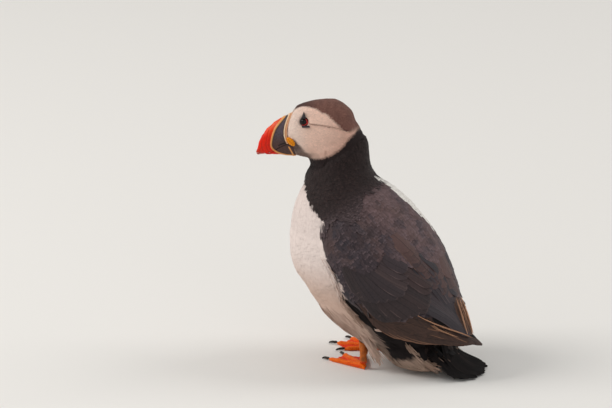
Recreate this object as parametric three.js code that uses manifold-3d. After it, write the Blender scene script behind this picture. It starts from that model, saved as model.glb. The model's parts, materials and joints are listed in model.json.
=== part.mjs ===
// Atlantic puffin, life size, standing upright with its head turned to its left.
// Millimetres, +Z up. The trunk faces -Y, the bird's left is +X, and the feet and tail tip stand on z = 0.
import * as THREE from 'three';
import { mergeVertices } from 'three/addons/utils/BufferGeometryUtils.js';
import Module from 'manifold-3d';

const wasm = await Module();
wasm.setup();

// Driving dimensions
const GAP = 0.3; // clearance kept where two pieces meet
const HEAD_CENTRE = [0, -41, 188.5];
const HEAD_YAW = 27; // degrees, to the bird's left
const HEAD_ROLL = 8; // degrees, the left cheek turned up
const EYE_RADIUS = 4;
const LEG_SPREAD = 25; // from the middle line to each leg
const LEFT_STANCE = { step: -2, toeIn: 40 }; // the heel's place along Y, and degrees turned inwards
const RIGHT_STANCE = { step: -11, toeIn: 2 };
const WEB_THICKNESS = 1.2;
const ANKLE = 5.2; // height at which leg and foot part

const rad = THREE.MathUtils.degToRad;
const vec = (p) => new THREE.Vector3(...p);

// ---- Shared shape tools ----

// A closed geometry as a manifold-3d solid.
function solid(geometry) {
  const bare = geometry.clone();
  bare.deleteAttribute('normal');
  bare.deleteAttribute('uv');
  const merged = mergeVertices(bare, 1e-4);
  const vertProperties = merged.attributes.position.array;
  const triVerts = new Uint32Array(merged.index.array);
  return new wasm.Manifold(new wasm.Mesh({ numProp: 3, vertProperties, triVerts }));
}

// A manifold-3d solid as a geometry.
function geometryOf(body) {
  const mesh = body.getMesh();
  const geometry = new THREE.BufferGeometry();
  geometry.setAttribute('position', new THREE.BufferAttribute(new Float32Array(mesh.vertProperties), 3));
  geometry.setIndex(new THREE.BufferAttribute(new Uint32Array(mesh.triVerts), 1));
  geometry.computeVertexNormals();
  return geometry;
}

// Raises a sine or cosine to a power and keeps its sign: under 1 squares a ring up, 1 leaves an ellipse.
const squared = (value, power) => Math.sign(value) * Math.abs(value) ** power;

// A closed skin through rings, one ring after another along a smooth spine.
// A station has its centre `at`, the half sizes `up`, `down` and `side`, and may lean by `top`,
// the direction that its up side faces. The ends round off over the shares `start` and `end` of the
// spine, and `wrap` is the radius round which a broad flat section is bent.
function loft(stations, { rings, around, top, grow = 0, power = 1, start = 0.06, end = 0.06, wrap = 1e6 }) {
  const spine = new THREE.CatmullRomCurve3(stations.map((s) => vec(s.at)));
  const sizes = new THREE.CatmullRomCurve3(stations.map((s) => vec([s.up, s.down, s.side])));
  const tops = new THREE.CatmullRomCurve3(stations.map((s) => vec(s.top ?? top)));
  const points = [spine.getPoint(0)];
  for (let i = 1; i < rings; i++) {
    const u = endSpaced(i / rings, start, end);
    const tangent = spine.getTangent(u);
    const size = sizes.getPoint(u);
    const upward = tops.getPoint(u).projectOnPlane(tangent).normalize();
    const sideways = new THREE.Vector3().crossVectors(tangent, upward);
    const cap = Math.min(roundOff(u, start), roundOff(1 - u, end));
    for (let j = 0; j < around; j++) {
      const angle = (2 * Math.PI * j) / around;
      const high = squared(Math.cos(angle), power) * cap;
      const wide = squared(Math.sin(angle), power) * cap;
      const reach = wide * (size.z + grow);
      const lift = high * ((high > 0 ? size.x : size.y) + grow) - reach ** 2 / (2 * wrap);
      points.push(spine.getPoint(u).addScaledVector(upward, lift).addScaledVector(sideways, reach));
    }
  }
  points.push(spine.getPoint(1));
  return ringSkin(points, rings - 1, around);
}

// Ring places along the spine, closer together where the ends round off.
function endSpaced(u, start, end) {
  const eased = (1 - Math.cos(Math.PI * u)) / 2;
  const ease = start + end > 0.2 ? 0.8 : 0.5;
  return u + (eased - u) * ease;
}

// A quarter-circle rise from 0 to 1 over the share `length`.
const roundOff = (u, length) => (u < length ? Math.sqrt(1 - (1 - u / length) ** 2) : 1);

// Triangles over rings of equal count, closed by one point at each end.
function ringSkin(points, rings, around) {
  const faces = [];
  const last = points.length - 1;
  const at = (ring, j) => 1 + ring * around + (j % around);
  for (let j = 0; j < around; j++) {
    faces.push(0, at(0, j + 1), at(0, j));
    for (let ring = 0; ring < rings - 1; ring++) {
      faces.push(at(ring, j), at(ring, j + 1), at(ring + 1, j));
      faces.push(at(ring, j + 1), at(ring + 1, j + 1), at(ring + 1, j));
    }
    faces.push(last, at(rings - 1, j), at(rings - 1, j + 1));
  }
  const geometry = new THREE.BufferGeometry().setFromPoints(points);
  geometry.setIndex(faces);
  const body = solid(geometry);
  return body.volume() > 0 ? body : solid(flipped(geometry));
}

function flipped(geometry) {
  const index = geometry.index.array;
  for (let i = 0; i < index.length; i += 3) {
    [index[i], index[i + 1]] = [index[i + 1], index[i]];
  }
  return geometry;
}

// An outline in the side plane (y, z), cut right through from x = -half to x = half.
function sidePlate(shape, half) {
  const options = { depth: 2 * half, bevelEnabled: false, curveSegments: 8 };
  const geometry = new THREE.ExtrudeGeometry(shape, options);
  geometry.translate(0, 0, -half);
  // The shape's x becomes y, its y becomes z and its depth becomes x.
  const turn = new THREE.Matrix4().makeBasis(vec([0, 1, 0]), vec([0, 0, 1]), vec([1, 0, 0]));
  return solid(geometry.applyMatrix4(turn));
}

// A large block whose lower face is the plane through `point` with the normal `facing`.
function blockAbove(point, facing, lift = 0) {
  const size = 400;
  const block = new THREE.BoxGeometry(size, size, size).translate(0, 0, size / 2 + lift);
  const turn = new THREE.Quaternion().setFromUnitVectors(vec([0, 0, 1]), vec(facing).normalize());
  return solid(block.applyQuaternion(turn).translate(...point));
}

// Parts a body at a plane, with the gap shared by both halves.
function partAt(body, point, facing) {
  const back = facing.map((v) => -v);
  return [facing, back].map((side) => body.intersect(blockAbove(point, side, GAP / 2)));
}

// The largest closed body of a solid, without the crumbs that a cut may leave.
function largest(body) {
  return body.decompose().sort((a, b) => b.volume() - a.volume())[0];
}

const placed = (body, matrix) => body.transform(matrix.elements);
const mirrored = (body) => body.mirror([1, 0, 0]);
const evened = (body) => body.add(mirrored(body)); // exactly alike on both sides
const bothSides = [
  ['left', 1, LEFT_STANCE],
  ['right', -1, RIGHT_STANCE],
];

// ---- Head frame ----
// In its own frame the head faces -Y with its middle at the origin.

const headMatrix = new THREE.Matrix4()
  .makeTranslation(...HEAD_CENTRE)
  .multiply(new THREE.Matrix4().makeRotationZ(rad(HEAD_YAW)))
  .multiply(new THREE.Matrix4().makeRotationY(rad(-HEAD_ROLL)));

// A ring of the head or bill, from its place along Y, its top, its bottom and its half width.
function slice(y, high, low, side) {
  const half = (high - low) / 2;
  return { at: [0, y, low + half], up: half, down: half, side };
}

const skullSlices = [
  slice(-42, 9, -18, 6),
  slice(-35, 12.8, -19.2, 8.4),
  slice(-28.5, 18.2, -20, 11),
  slice(-21, 23.4, -21, 15),
  slice(-11, 26.4, -23.4, 19.2),
  slice(0, 26.6, -25.4, 21),
  slice(8.6, 21.4, -22, 20.2),
  slice(14.6, 13.6, -15, 17.4),
  slice(19.4, 3, -6, 9),
];

function skull(grow = 0) {
  const shape = { rings: 15, around: 24, top: [0, 0, 1], power: 0.94, start: 0.02, end: 0.12 };
  return loft(skullSlices, { ...shape, grow });
}

const billSlices = [
  slice(-23, 16.4, -21, 10.4),
  slice(-30, 15, -20.2, 9),
  slice(-35, 12.8, -19.8, 7.9),
  slice(-43, 9.2, -19.4, 6.2),
  slice(-51, 2.4, -19, 4.4),
  slice(-56, -6.6, -18.8, 2.9),
  slice(-58.6, -14.8, -18.9, 1.7),
  slice(-59, -18.6, -19.4, 0.9),
];

function billBlank(grow = 0) {
  const shape = { rings: 15, around: 20, top: [0, 0, 1], power: 0.86, start: 0, end: 0.03 };
  return loft(billSlices, { ...shape, grow });
}

// The line between the bill's rim and the feathers of the face, in side view, from top to bottom.
const RIM_TOP = [-29.6, 19];
const RIM_BULGE = [-43.6, -1];
const RIM_GAPE = [-31.6, -13];
const RIM_FOOT = [-27, -27];
const RIM_WIDTH = 2.4;

// Everything behind a line that runs `back` behind the face's edge.
function behindFace(back) {
  const shape = new THREE.Shape();
  shape.moveTo(RIM_TOP[0] + back, 60);
  shape.lineTo(RIM_TOP[0] + back, RIM_TOP[1]);
  shape.quadraticCurveTo(RIM_BULGE[0] + back, RIM_BULGE[1], RIM_GAPE[0] + back, RIM_GAPE[1]);
  shape.lineTo(RIM_FOOT[0] + back, RIM_FOOT[1]);
  shape.lineTo(RIM_FOOT[0] + back, -60);
  shape.lineTo(90, -60);
  shape.lineTo(90, 60);
  return sidePlate(shape, 60);
}

// Everything above the closed mouth, whose line sags from the gape to the tip of the bill.
function aboveMouth(lift) {
  const shape = new THREE.Shape();
  shape.moveTo(-62, -18.2 + lift);
  shape.quadraticCurveTo(-47, -15.4 + lift, -20, -1 + lift);
  shape.lineTo(-20, 60);
  shape.lineTo(-62, 60);
  return sidePlate(shape, 60);
}

// The fleshy rosette at the corner of the mouth.
function rosette(side, grow = 0) {
  const pad = new THREE.SphereGeometry(1, 10, 7);
  pad.scale(1.7 + grow, 4.4 + grow, 2.3 + grow);
  pad.rotateX(rad(-46));
  pad.rotateZ(rad(-side * 14));
  return solid(pad.translate(side * 8.8, -34, -7.2));
}

const eyePlace = (side) => [side * 10.1, -22.8, 9];
const eyeBall = (side, radius) => solid(new THREE.SphereGeometry(radius, 14, 9).translate(...eyePlace(side)));

// The horny plates round the eye in side view: a pointed one above it and a bar below.
const eyePlates = [
  { name: 'eye_crest', corners: [[-25.8, 11.8], [-23.4, 17.4], [-21.9, 12.4]] },
  { name: 'eye_bar', corners: [[-25.4, 6.3], [-19.2, 6.6], [-19, 5.2], [-24.8, 4.8]] },
];

function eyePlate(corners, side) {
  const shape = new THREE.Shape(corners.map(([y, z]) => new THREE.Vector2(y, z)));
  const shell = skull(GAP + 1).subtract(skull(GAP)).subtract(eyeBall(side, EYE_RADIUS + GAP));
  const half = blockAbove([side * 4, 0, 0], [side, 0, 0]);
  return shell.intersect(sidePlate(shape, 40)).intersect(half);
}

// ---- Trunk and neck ----

const trunkStations = [
  { at: [0, -38, 157], up: 18, down: 22, side: 23 },
  { at: [0, -35, 142], up: 30, down: 36, side: 37 },
  { at: [0, -29, 124], up: 40, down: 49, side: 46 },
  { at: [0, -20, 103], up: 49, down: 58, side: 51 },
  { at: [0, -9, 82], up: 52, down: 59, side: 52 },
  { at: [0, 6, 61], up: 53, down: 51, side: 48 },
  { at: [0, 23, 43], up: 43, down: 39, side: 39 },
  { at: [0, 42, 29], up: 27, down: 26, side: 28 },
  { at: [0, 60, 19], up: 12, down: 12, side: 17 },
];

// The feathered thigh under the left flank, round the top of the leg.
const thighStations = [
  { at: [LEG_SPREAD - 6, 6, 50], up: 14, down: 14, side: 14 },
  { at: [LEG_SPREAD - 3, 2, 34], up: 13, down: 12, side: 12 },
  { at: [LEG_SPREAD - 1, -1, 21], up: 6.5, down: 5.5, side: 6 },
];

// The loose feathers beside the vent, which hang almost to the ground behind each leg.
const ventStations = [
  { at: [17, 12, 27], up: 7, down: 7, side: 8 },
  { at: [19, 28, 17.5], up: 12, down: 12.5, side: 12 },
  { at: [20, 45, 13], up: 9.5, down: 9.5, side: 11 },
  { at: [17, 63, 9], up: 4, down: 4.5, side: 7 },
];

function trunkBlank(grow = 0) {
  const shape = { rings: 16, around: 28, top: [0, 0.8, 0.6], start: 0.08, end: 0.05 };
  const egg = loft(trunkStations, { ...shape, grow });
  return bothSides.reduce((body, [, side, { step }]) => {
    const thigh = loft(thighStations, { rings: 6, around: 11, top: [0, 1, 0], grow, start: 0.1, end: 0.2 });
    const vent = loft(ventStations, { rings: 7, around: 9, top: [0, 0, 1], grow, start: 0.1, end: 0.2 });
    const onSide = (part) => (side > 0 ? part : mirrored(part));
    return body.add(onSide(thigh).translate(0, step, 0)).add(onSide(vent));
  }, egg);
}

// The mantle: the cape of long feathers over the back and shoulders, lying over the wings' upper edges.
const mantleStations = [
  { at: [0, -9, 153], up: 3, down: 10, side: 28 },
  { at: [0, 5, 143], up: 6, down: 12, side: 42 },
  { at: [0, 23, 127], up: 8, down: 14, side: 48 },
  { at: [0, 40, 106], up: 9, down: 15, side: 47 },
  { at: [0, 52, 85], up: 8, down: 14, side: 39 },
  { at: [0, 61, 67], up: 6, down: 12, side: 29 },
  { at: [0, 69, 53], up: 4, down: 9, side: 19 },
  { at: [0, 76, 42], up: 2, down: 5, side: 9 },
];

function mantleBlank(grow = 0) {
  const shape = { rings: 10, around: 20, top: [0, 0.8, 0.6], power: 0.85, start: 0.1, end: 0.1, wrap: 44 };
  return loft(mantleStations, { ...shape, grow });
}

const neckStations = [
  { at: [0, -38, 190], up: 27.5, down: 17, side: 17.6 },
  { at: [0, -37, 174], up: 27, down: 21.5, side: 22 },
  { at: [0, -36, 158], up: 27, down: 26, side: 25 },
  { at: [0, -34, 143], up: 33, down: 33, side: 33 },
  { at: [0, -30, 126], up: 38, down: 42, side: 40 },
];

function neckBlank(grow = 0) {
  return loft(neckStations, { grow, rings: 9, around: 28, top: [0, 1, 0], start: 0.1, end: 0.1 });
}

// ---- Wings and tail ----

// A folded wing: from the bend at the breast side back to the tips of the primaries.
// `up` is how far it stands out from the flank and `side` its half breadth.
const wingStations = [
  { at: [43, -26, 129], up: 4, down: 5, side: 9, top: [1, -0.25, 0.15] },
  { at: [49, -15, 116], up: 6, down: 6, side: 21, top: [1, -0.05, 0.2] },
  { at: [50, 2, 98], up: 7, down: 8, side: 29, top: [1, 0.2, 0.3] },
  { at: [43, 24, 80], up: 7, down: 8, side: 29, top: [0.9, 0.5, 0.42] },
  { at: [31, 48, 65], up: 6, down: 8, side: 26, top: [0.75, 0.6, 0.6] },
  { at: [19, 66, 50], up: 5, down: 6, side: 19, top: [0.6, 0.55, 0.8] },
  { at: [12, 81, 37], up: 2.4, down: 2.4, side: 10, top: [0.5, 0.5, 0.9] },
  { at: [6, 94, 28], up: 1, down: 1, side: 2.2, top: [0.4, 0.5, 0.9] },
];
const PRIMARIES_FROM = [24, 56, 50]; // where the primaries leave the rest of the wing
const WING_RUN = [-0.42, 0.78, -0.46]; // the direction in which they leave
const RIGHT_TUCK = 0.62; // how far the right wing's tips are drawn in, as a share of their reach

// The stations with the tips drawn in towards the middle of the wing.
function tucked(share) {
  const root = vec(wingStations[4].at);
  return wingStations.map((s, i) => (i > 4 ? { ...s, at: vec(s.at).lerp(root, share).toArray() } : s));
}

function wingBlank(tuck) {
  const shape = { rings: 15, around: 12, top: [1, 0, 0], power: 0.85, start: 0.08, end: 0.04, wrap: 48 };
  return loft(tucked(tuck), shape);
}

const tailStations = [
  { at: [0, 32, 31], up: 8, down: 8, side: 14 },
  { at: [0, 50, 19], up: 4, down: 4, side: 19 },
  { at: [0, 66, 9], up: 1.8, down: 1.8, side: 24 },
  { at: [0, 80, 3], up: 1.1, down: 1.1, side: 31 },
  { at: [0, 92, 0.8], up: 0.9, down: 0.9, side: 33 },
  { at: [0, 98, 0.7], up: 0.9, down: 0.9, side: 31 },
];

const TAIL_FEATHERS = 12;
const TAIL_REACH = 58; // from the root of the tail to the tips of its feathers

// The fan seen from above, with one rounded tip for each feather.
function tailOutline() {
  const root = [0, 36];
  const spread = rad(33);
  const onFan = (share, reach) => {
    const angle = spread * (2 * share - 1);
    const rounded = reach - 7 * Math.abs(2 * share - 1) ** 2.4;
    return [root[0] + rounded * Math.sin(angle), root[1] + rounded * Math.cos(angle)];
  };
  const shape = new THREE.Shape();
  shape.moveTo(-36, 20);
  for (let i = 0; i < TAIL_FEATHERS; i++) {
    const [from, to] = [i / TAIL_FEATHERS, (i + 1) / TAIL_FEATHERS];
    shape.lineTo(...onFan(from, TAIL_REACH - 2.6));
    shape.lineTo(...onFan(from * 0.72 + to * 0.28, TAIL_REACH - 0.4));
    shape.lineTo(...onFan(from * 0.4 + to * 0.6, TAIL_REACH));
    shape.lineTo(...onFan(to, TAIL_REACH - 2.6));
  }
  shape.lineTo(36, 20);
  return solid(new THREE.ExtrudeGeometry(shape, { depth: 80, bevelEnabled: false }));
}

function tailBlank() {
  return loft(tailStations, { rings: 9, around: 12, top: [0, 0, 1], power: 0.8, start: 0.05, end: 0.05 });
}

// ---- Legs and feet ----
// A foot in its own frame: the heel over the origin, the middle toe along -Y, the sole on z = 0.

const toes = [
  { name: 'outer', turn: 27, length: 36 },
  { name: 'middle', turn: 0, length: 38 },
  { name: 'inner', turn: -27, length: 29 },
];
const TOE_RADIUS = 2.3;
const CLAW_LENGTH = 6.5;

const alongToe = (toe, distance) => [distance * Math.sin(rad(toe.turn)), -distance * Math.cos(rad(toe.turn))];

function toeBody(toe) {
  const station = (share, radius) => {
    const [x, y] = alongToe(toe, toe.length * share);
    return { at: [x, y, radius * 0.9], up: radius, down: radius, side: radius };
  };
  const knuckles = [station(-0.06, 2.6), station(0.3, TOE_RADIUS), station(0.65, 2), station(1, 1.5)];
  return loft(knuckles, { rings: 6, around: 8, top: [0, 0, 1], start: 0.04, end: 0.05 });
}

// The web: a plate between the toes, drawn in a little between one toe tip and the next.
function webBody() {
  const shape = new THREE.Shape();
  shape.moveTo(0, 3);
  toes.forEach((toe, i) => {
    const [x, y] = alongToe(toe, toe.length * 0.97);
    if (i === 0) {
      shape.lineTo(x, y);
      return;
    }
    const [px, py] = alongToe(toes[i - 1], toes[i - 1].length * 0.97);
    shape.quadraticCurveTo(((px + x) / 2) * 0.88, ((py + y) / 2) * 0.88, x, y);
  });
  const options = { depth: WEB_THICKNESS, bevelEnabled: false, curveSegments: 4 };
  return solid(new THREE.ExtrudeGeometry(shape, options));
}

function footBlank() {
  const joined = toes.reduce((body, toe) => body.add(toeBody(toe)), webBody());
  return joined.intersect(blockAbove([0, 0, 0], [0, 0, 1]));
}

function clawBody(toe) {
  const station = (out, height, radius) => {
    const [x, y] = alongToe(toe, toe.length + out);
    return { at: [x, y, height], up: radius, down: radius, side: radius * 0.8 };
  };
  const curve = [station(GAP, 1.6, 1.3), station(CLAW_LENGTH * 0.55, 1.7, 1), station(CLAW_LENGTH, 0.5, 0.5)];
  const claw = loft(curve, { rings: 5, around: 6, top: [0, 0, 1], start: 0.04, end: 0.08 });
  return claw.intersect(blockAbove([0, 0, 0], [0, 0, 1]));
}

const tarsusStations = (step) => [
  { at: [LEG_SPREAD - 2, step - 1, 36], up: 6, down: 6, side: 6 },
  { at: [LEG_SPREAD - 1, step - 1, 24], up: 3.6, down: 3.4, side: 3 },
  { at: [LEG_SPREAD, step, 12], up: 2.9, down: 2.9, side: 2.5 },
  { at: [LEG_SPREAD, step, 3], up: 3.4, down: 3.4, side: 3 },
];

function tarsusBlank(step) {
  return loft(tarsusStations(step), { rings: 9, around: 12, top: [0, 1, 0], start: 0.05, end: 0.05 });
}

// ---- Materials ----

const finish = (color, roughness) => new THREE.MeshStandardMaterial({ color, roughness, metalness: 0 });
const paint = {
  dark: finish(0x2a2425, 0.75),
  face: finish(0xcfc3bd, 0.8),
  white: finish(0xe6ddd8, 0.85),
  wing: finish(0x332c2d, 0.65),
  quill: finish(0x3a2c27, 0.6),
  red: finish(0xc2341c, 0.35),
  cream: finish(0xd9ac7c, 0.45),
  rosette: finish(0xd9820f, 0.5),
  eye: finish(0x120c0a, 0.08),
  plate: finish(0x4a474a, 0.5),
  foot: finish(0xe0531b, 0.45),
  claw: finish(0x1d1a19, 0.4),
};

// ---- The bird ----

const puffin = new THREE.Group();

function add(name, body, material) {
  const mesh = new THREE.Mesh(geometryOf(largest(body)), material.clone());
  mesh.name = name;
  puffin.add(mesh);
}

function headPieces() {
  const hollows = bothSides.map(([, side]) => eyeBall(side, EYE_RADIUS + GAP).add(rosette(side, GAP)));
  return hollows.reduce((body, hollow) => body.subtract(hollow), skull().intersect(behindFace(GAP)));
}

function addHead() {
  const corners = rosette(1, GAP).add(rosette(-1, GAP));
  const edge = behindFace(-RIM_WIDTH).subtract(behindFace(0));
  const rim = billBlank(0.6).intersect(edge).intersect(aboveMouth(0));
  const upper = billBlank().subtract(behindFace(-RIM_WIDTH - GAP)).intersect(aboveMouth(0));
  const lower = billBlank().subtract(behindFace(0)).subtract(aboveMouth(-GAP));
  add('bill_upper', placed(upper.subtract(corners), headMatrix), paint.red);
  add('bill_lower', placed(lower.subtract(corners), headMatrix), paint.red);
  add('bill_rim', placed(rim.subtract(corners), headMatrix), paint.cream);
  bothSides.forEach(([name, side]) => {
    add(`rosette_${name}`, placed(rosette(side), headMatrix), paint.rosette);
    add(`eye_${name}`, placed(eyeBall(side, EYE_RADIUS), headMatrix), paint.eye);
    eyePlates.forEach((plate) => {
      add(`${plate.name}_${name}`, placed(eyePlate(plate.corners, side), headMatrix), paint.plate);
    });
  });
}

function addBody() {
  const head = placed(headPieces(), headMatrix);
  const whole = head.add(neckBlank()).add(trunkBlank());
  const [above, trunk] = partAt(whole, [0, -40, 146], [0, 0.06, 1]);
  const [headNode, neckNode] = partAt(above, [0, -40, 172], [0.2, -0.6, 1]);
  add('head', headNode, paint.face);
  add('neck', neckNode, paint.dark);
  add('trunk', trunk, paint.white);
}

function addWings() {
  const body = evened(trunkBlank(GAP).add(neckBlank(GAP)).add(mantleBlank(GAP)));
  bothSides.forEach(([name, side]) => {
    const blank = wingBlank(side > 0 ? 0 : RIGHT_TUCK).intersect(blockAbove([GAP / 2, 0, 0], [1, 0, 0]));
    const wing = largest(blank.subtract(body));
    const [tips, arm] = partAt(wing, PRIMARIES_FROM, WING_RUN);
    const onSide = (piece) => (side > 0 ? piece : mirrored(piece));
    add(`wing_${name}`, onSide(arm), paint.wing);
    add(`primaries_${name}`, onSide(tips), paint.quill);
  });
}

function addMantle() {
  add('mantle', mantleBlank().subtract(trunkBlank(GAP).add(neckBlank(GAP))), paint.dark);
}

function addTail() {
  add('tail', tailBlank().intersect(tailOutline()).subtract(trunkBlank(GAP)), paint.wing);
}

function addLeg(name, side, { step, toeIn }) {
  const stance = new THREE.Matrix4()
    .makeTranslation(LEG_SPREAD, step, 0)
    .multiply(new THREE.Matrix4().makeRotationZ(rad(-toeIn)));
  const onSide = (piece) => (side > 0 ? piece : mirrored(piece));
  const foot = placed(footBlank(), stance);
  const leg = onSide(tarsusBlank(step).intersect(blockAbove([0, 0, ANKLE], [0, 0, 1])));
  add(`leg_${name}`, leg.subtract(trunkBlank(GAP)), paint.foot);
  add(`foot_${name}`, onSide(foot), paint.foot);
  toes.forEach((toe) => add(`claw_${name}_${toe.name}`, onSide(placed(clawBody(toe), stance)), paint.claw));
}

addHead();
addBody();
addMantle();
addWings();
addTail();
bothSides.forEach((leg) => addLeg(...leg));

// The frame's origin lies on the floor under the middle of the bird.
const bounds = new THREE.Box3().setFromObject(puffin);
const middle = bounds.getCenter(new THREE.Vector3());
puffin.children.forEach((mesh) => mesh.geometry.translate(-middle.x, -middle.y, -bounds.min.z));

export default puffin;
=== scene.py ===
# Atlantic puffin, life size: one skin with its coat of feathers, bill, eyes, plates, feet and claws.
import itertools
import json
import math
import bmesh
import bpy
import numpy as np
from mathutils import Matrix, Vector
from mathutils.bvhtree import BVHTree
from mathutils.kdtree import KDTree

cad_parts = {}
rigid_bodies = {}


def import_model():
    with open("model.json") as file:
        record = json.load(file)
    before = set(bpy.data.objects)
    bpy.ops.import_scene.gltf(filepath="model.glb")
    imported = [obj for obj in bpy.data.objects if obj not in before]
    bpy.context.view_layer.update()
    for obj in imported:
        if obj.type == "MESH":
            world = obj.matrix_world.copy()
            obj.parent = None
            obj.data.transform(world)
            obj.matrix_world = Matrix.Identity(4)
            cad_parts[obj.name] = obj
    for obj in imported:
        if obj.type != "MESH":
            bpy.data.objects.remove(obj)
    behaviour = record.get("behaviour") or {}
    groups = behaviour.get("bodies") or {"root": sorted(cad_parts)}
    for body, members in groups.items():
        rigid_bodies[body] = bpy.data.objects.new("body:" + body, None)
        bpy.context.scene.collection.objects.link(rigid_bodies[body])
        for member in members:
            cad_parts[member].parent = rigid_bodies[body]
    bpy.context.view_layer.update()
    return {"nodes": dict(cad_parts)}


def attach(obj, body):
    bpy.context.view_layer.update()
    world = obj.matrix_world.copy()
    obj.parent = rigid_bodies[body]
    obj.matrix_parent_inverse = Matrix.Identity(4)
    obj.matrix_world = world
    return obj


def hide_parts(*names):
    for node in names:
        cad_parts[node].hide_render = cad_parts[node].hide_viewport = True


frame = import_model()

mm = 0.001


# Small tools

def deselectAll():
    if bpy.context.object and bpy.context.object.mode != "OBJECT":
        bpy.ops.object.mode_set(mode="OBJECT")
    bpy.ops.object.select_all(action="DESELECT")


def pick(piece):  # makes a piece the only one that an operator acts on
    deselectAll()
    piece.select_set(True)
    bpy.context.view_layer.objects.active = piece


def copyOfNodes(names, title):  # the CAD solids of these nodes, copied into one welded mesh
    deselectAll()
    for name in names:
        part = bpy.data.objects.new(title, frame["nodes"][name].data.copy())
        bpy.context.scene.collection.objects.link(part)
        part.select_set(True)
        bpy.context.view_layer.objects.active = part
    if len(names) > 1:
        bpy.ops.object.join()
    piece = bpy.context.object
    piece.name = title
    piece.data.name = title
    piece.data.materials.clear()
    bpy.ops.object.mode_set(mode="EDIT")
    bpy.ops.mesh.select_all(action="SELECT")
    bpy.ops.mesh.remove_doubles(threshold=1e-6)
    bpy.ops.mesh.normals_make_consistent(inside=False)
    bpy.ops.object.mode_set(mode="OBJECT")
    return piece


def applied(piece, kind, **settings):  # adds a modifier, sets it up and applies it
    pick(piece)
    modifier = piece.modifiers.new(kind.lower(), kind)
    for key, value in settings.items():
        setattr(modifier, key, value)
    bpy.ops.object.modifier_apply(modifier=modifier.name)


def remeshed(piece, voxel, swell=0.0, soften=0):  # an even closed surface round the solids
    if swell:
        applied(piece, "DISPLACE", strength=swell, mid_level=0.0)
    applied(piece, "REMESH", mode="VOXEL", voxel_size=voxel)
    if soften:
        applied(piece, "SMOOTH", factor=0.5, iterations=soften)


def keepLargest(piece):  # drops closed pockets that the remesh left inside
    pick(piece)
    bpy.ops.object.mode_set(mode="EDIT")
    bpy.ops.mesh.select_all(action="DESELECT")
    bpy.ops.object.mode_set(mode="OBJECT")
    low = piece.data.vertices[int(places(piece)[:, 2].argmin())]
    low.select = True
    bpy.ops.object.mode_set(mode="EDIT")
    bpy.ops.mesh.select_mode(type="VERT")
    bpy.ops.mesh.select_linked()
    bpy.ops.mesh.select_all(action="INVERT")
    bpy.ops.mesh.delete(type="VERT")
    bpy.ops.object.mode_set(mode="OBJECT")


def readAll(items, key, width=1, kind=np.float32):  # one property of every item in one of a mesh's lists
    found = np.empty(len(items) * width, kind)
    items.foreach_get(key, found)
    return found


def places(piece):
    return readAll(piece.data.vertices, "co", 3).reshape(-1, 3).astype(float)


def setPlaces(piece, values):
    piece.data.vertices.foreach_set("co", np.ascontiguousarray(values, np.float32).ravel())
    piece.data.update()


def normalsOf(piece):
    return readAll(piece.data.vertices, "normal", 3).reshape(-1, 3).astype(float)


def unit(vectors):
    return vectors / np.maximum(np.linalg.norm(vectors, axis=-1, keepdims=True), 1e-12)


def spread(piece, values, rounds):  # evens a value per vertex out along the edges
    a, b = readAll(piece.data.edges, "vertices", 2, np.int32).reshape(-1, 2).T
    count = np.bincount(a, minlength=len(values)) + np.bincount(b, minlength=len(values))
    flat = values.reshape(len(values), -1).astype(float)
    for _ in range(rounds):
        for k in range(flat.shape[1]):
            near = np.bincount(a, flat[b, k], len(values)) + np.bincount(b, flat[a, k], len(values))
            flat[:, k] = 0.5 * flat[:, k] + 0.5 * near / np.maximum(count, 1)
    return flat.reshape(values.shape)


def smoothStep(value, low, high):
    share = np.clip((value - low) / (high - low), 0, 1)
    return share * share * (3 - 2 * share)


def tone(*screen):  # a screen colour, red, green and blue from 0 to 255, as linear light
    return np.array([c / 255 / 12.92 if c < 10 else ((c / 255 + 0.055) / 1.055) ** 2.4 for c in screen])


def mixed(first, second, share):
    return first + (second - first) * np.asarray(share)[..., None]


def paintAttribute(piece, name, colours):  # a colour for each vertex, in linear light
    layer = piece.data.color_attributes.new(name, "FLOAT_COLOR", "POINT")
    rgba = np.ones((len(colours), 4), np.float32)
    rgba[:, :colours.shape[1]] = colours
    layer.data.foreach_set("color", rgba.ravel())


def waviness(points, scale, seed):  # a cheap smooth noise between -1 and 1, from a few sine waves
    rng = np.random.default_rng(seed)
    total = np.zeros(len(points))
    for _ in range(6):
        direction = unit(rng.normal(size=3))
        total += np.sin(points @ direction * rng.uniform(0.7, 1.6) * scale + rng.uniform(0, 6.28))
    return total / 3.2


def loopDistance(across, up, loop):  # signed distance to a closed outline, more than 0 inside it
    best = np.full(len(across), 1e9)
    inside = np.zeros(len(across), bool)
    for (x0, y0), (x1, y1) in zip(loop, loop[1:] + loop[:1]):
        dx, dy = x1 - x0, y1 - y0
        share = np.clip(((across - x0) * dx + (up - y0) * dy) / (dx * dx + dy * dy), 0, 1)
        best = np.minimum(best, np.hypot(across - x0 - share * dx, up - y0 - share * dy))
        crosses = (y0 > up) != (y1 > up)
        inside ^= crosses & (across < dx * (up - y0) / (dy if dy else 1e-9) + x0)
    return np.where(inside, best, -best)


def lineDistance(across, up, line):  # distance to an open line, and the share of the way along it
    best = np.full(len(across), 1e9)
    along = np.zeros(len(across))
    total = len(line) - 1
    for i, ((x0, y0), (x1, y1)) in enumerate(zip(line, line[1:])):
        dx, dy = x1 - x0, y1 - y0
        share = np.clip(((across - x0) * dx + (up - y0) * dy) / (dx * dx + dy * dy), 0, 1)
        gap = np.hypot(across - x0 - share * dx, up - y0 - share * dy)
        along = np.where(gap < best, (i + share) / total, along)
        best = np.minimum(best, gap)
    return best, along


def curved(a, b, c, d, t):  # the place at share t between b and c, on a smooth curve through all four
    return 0.5 * (2 * b + (c - a) * t + (2 * a - 5 * b + 4 * c - d) * t * t
                  + (3 * b - a - 3 * c + d) * t ** 3)


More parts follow.
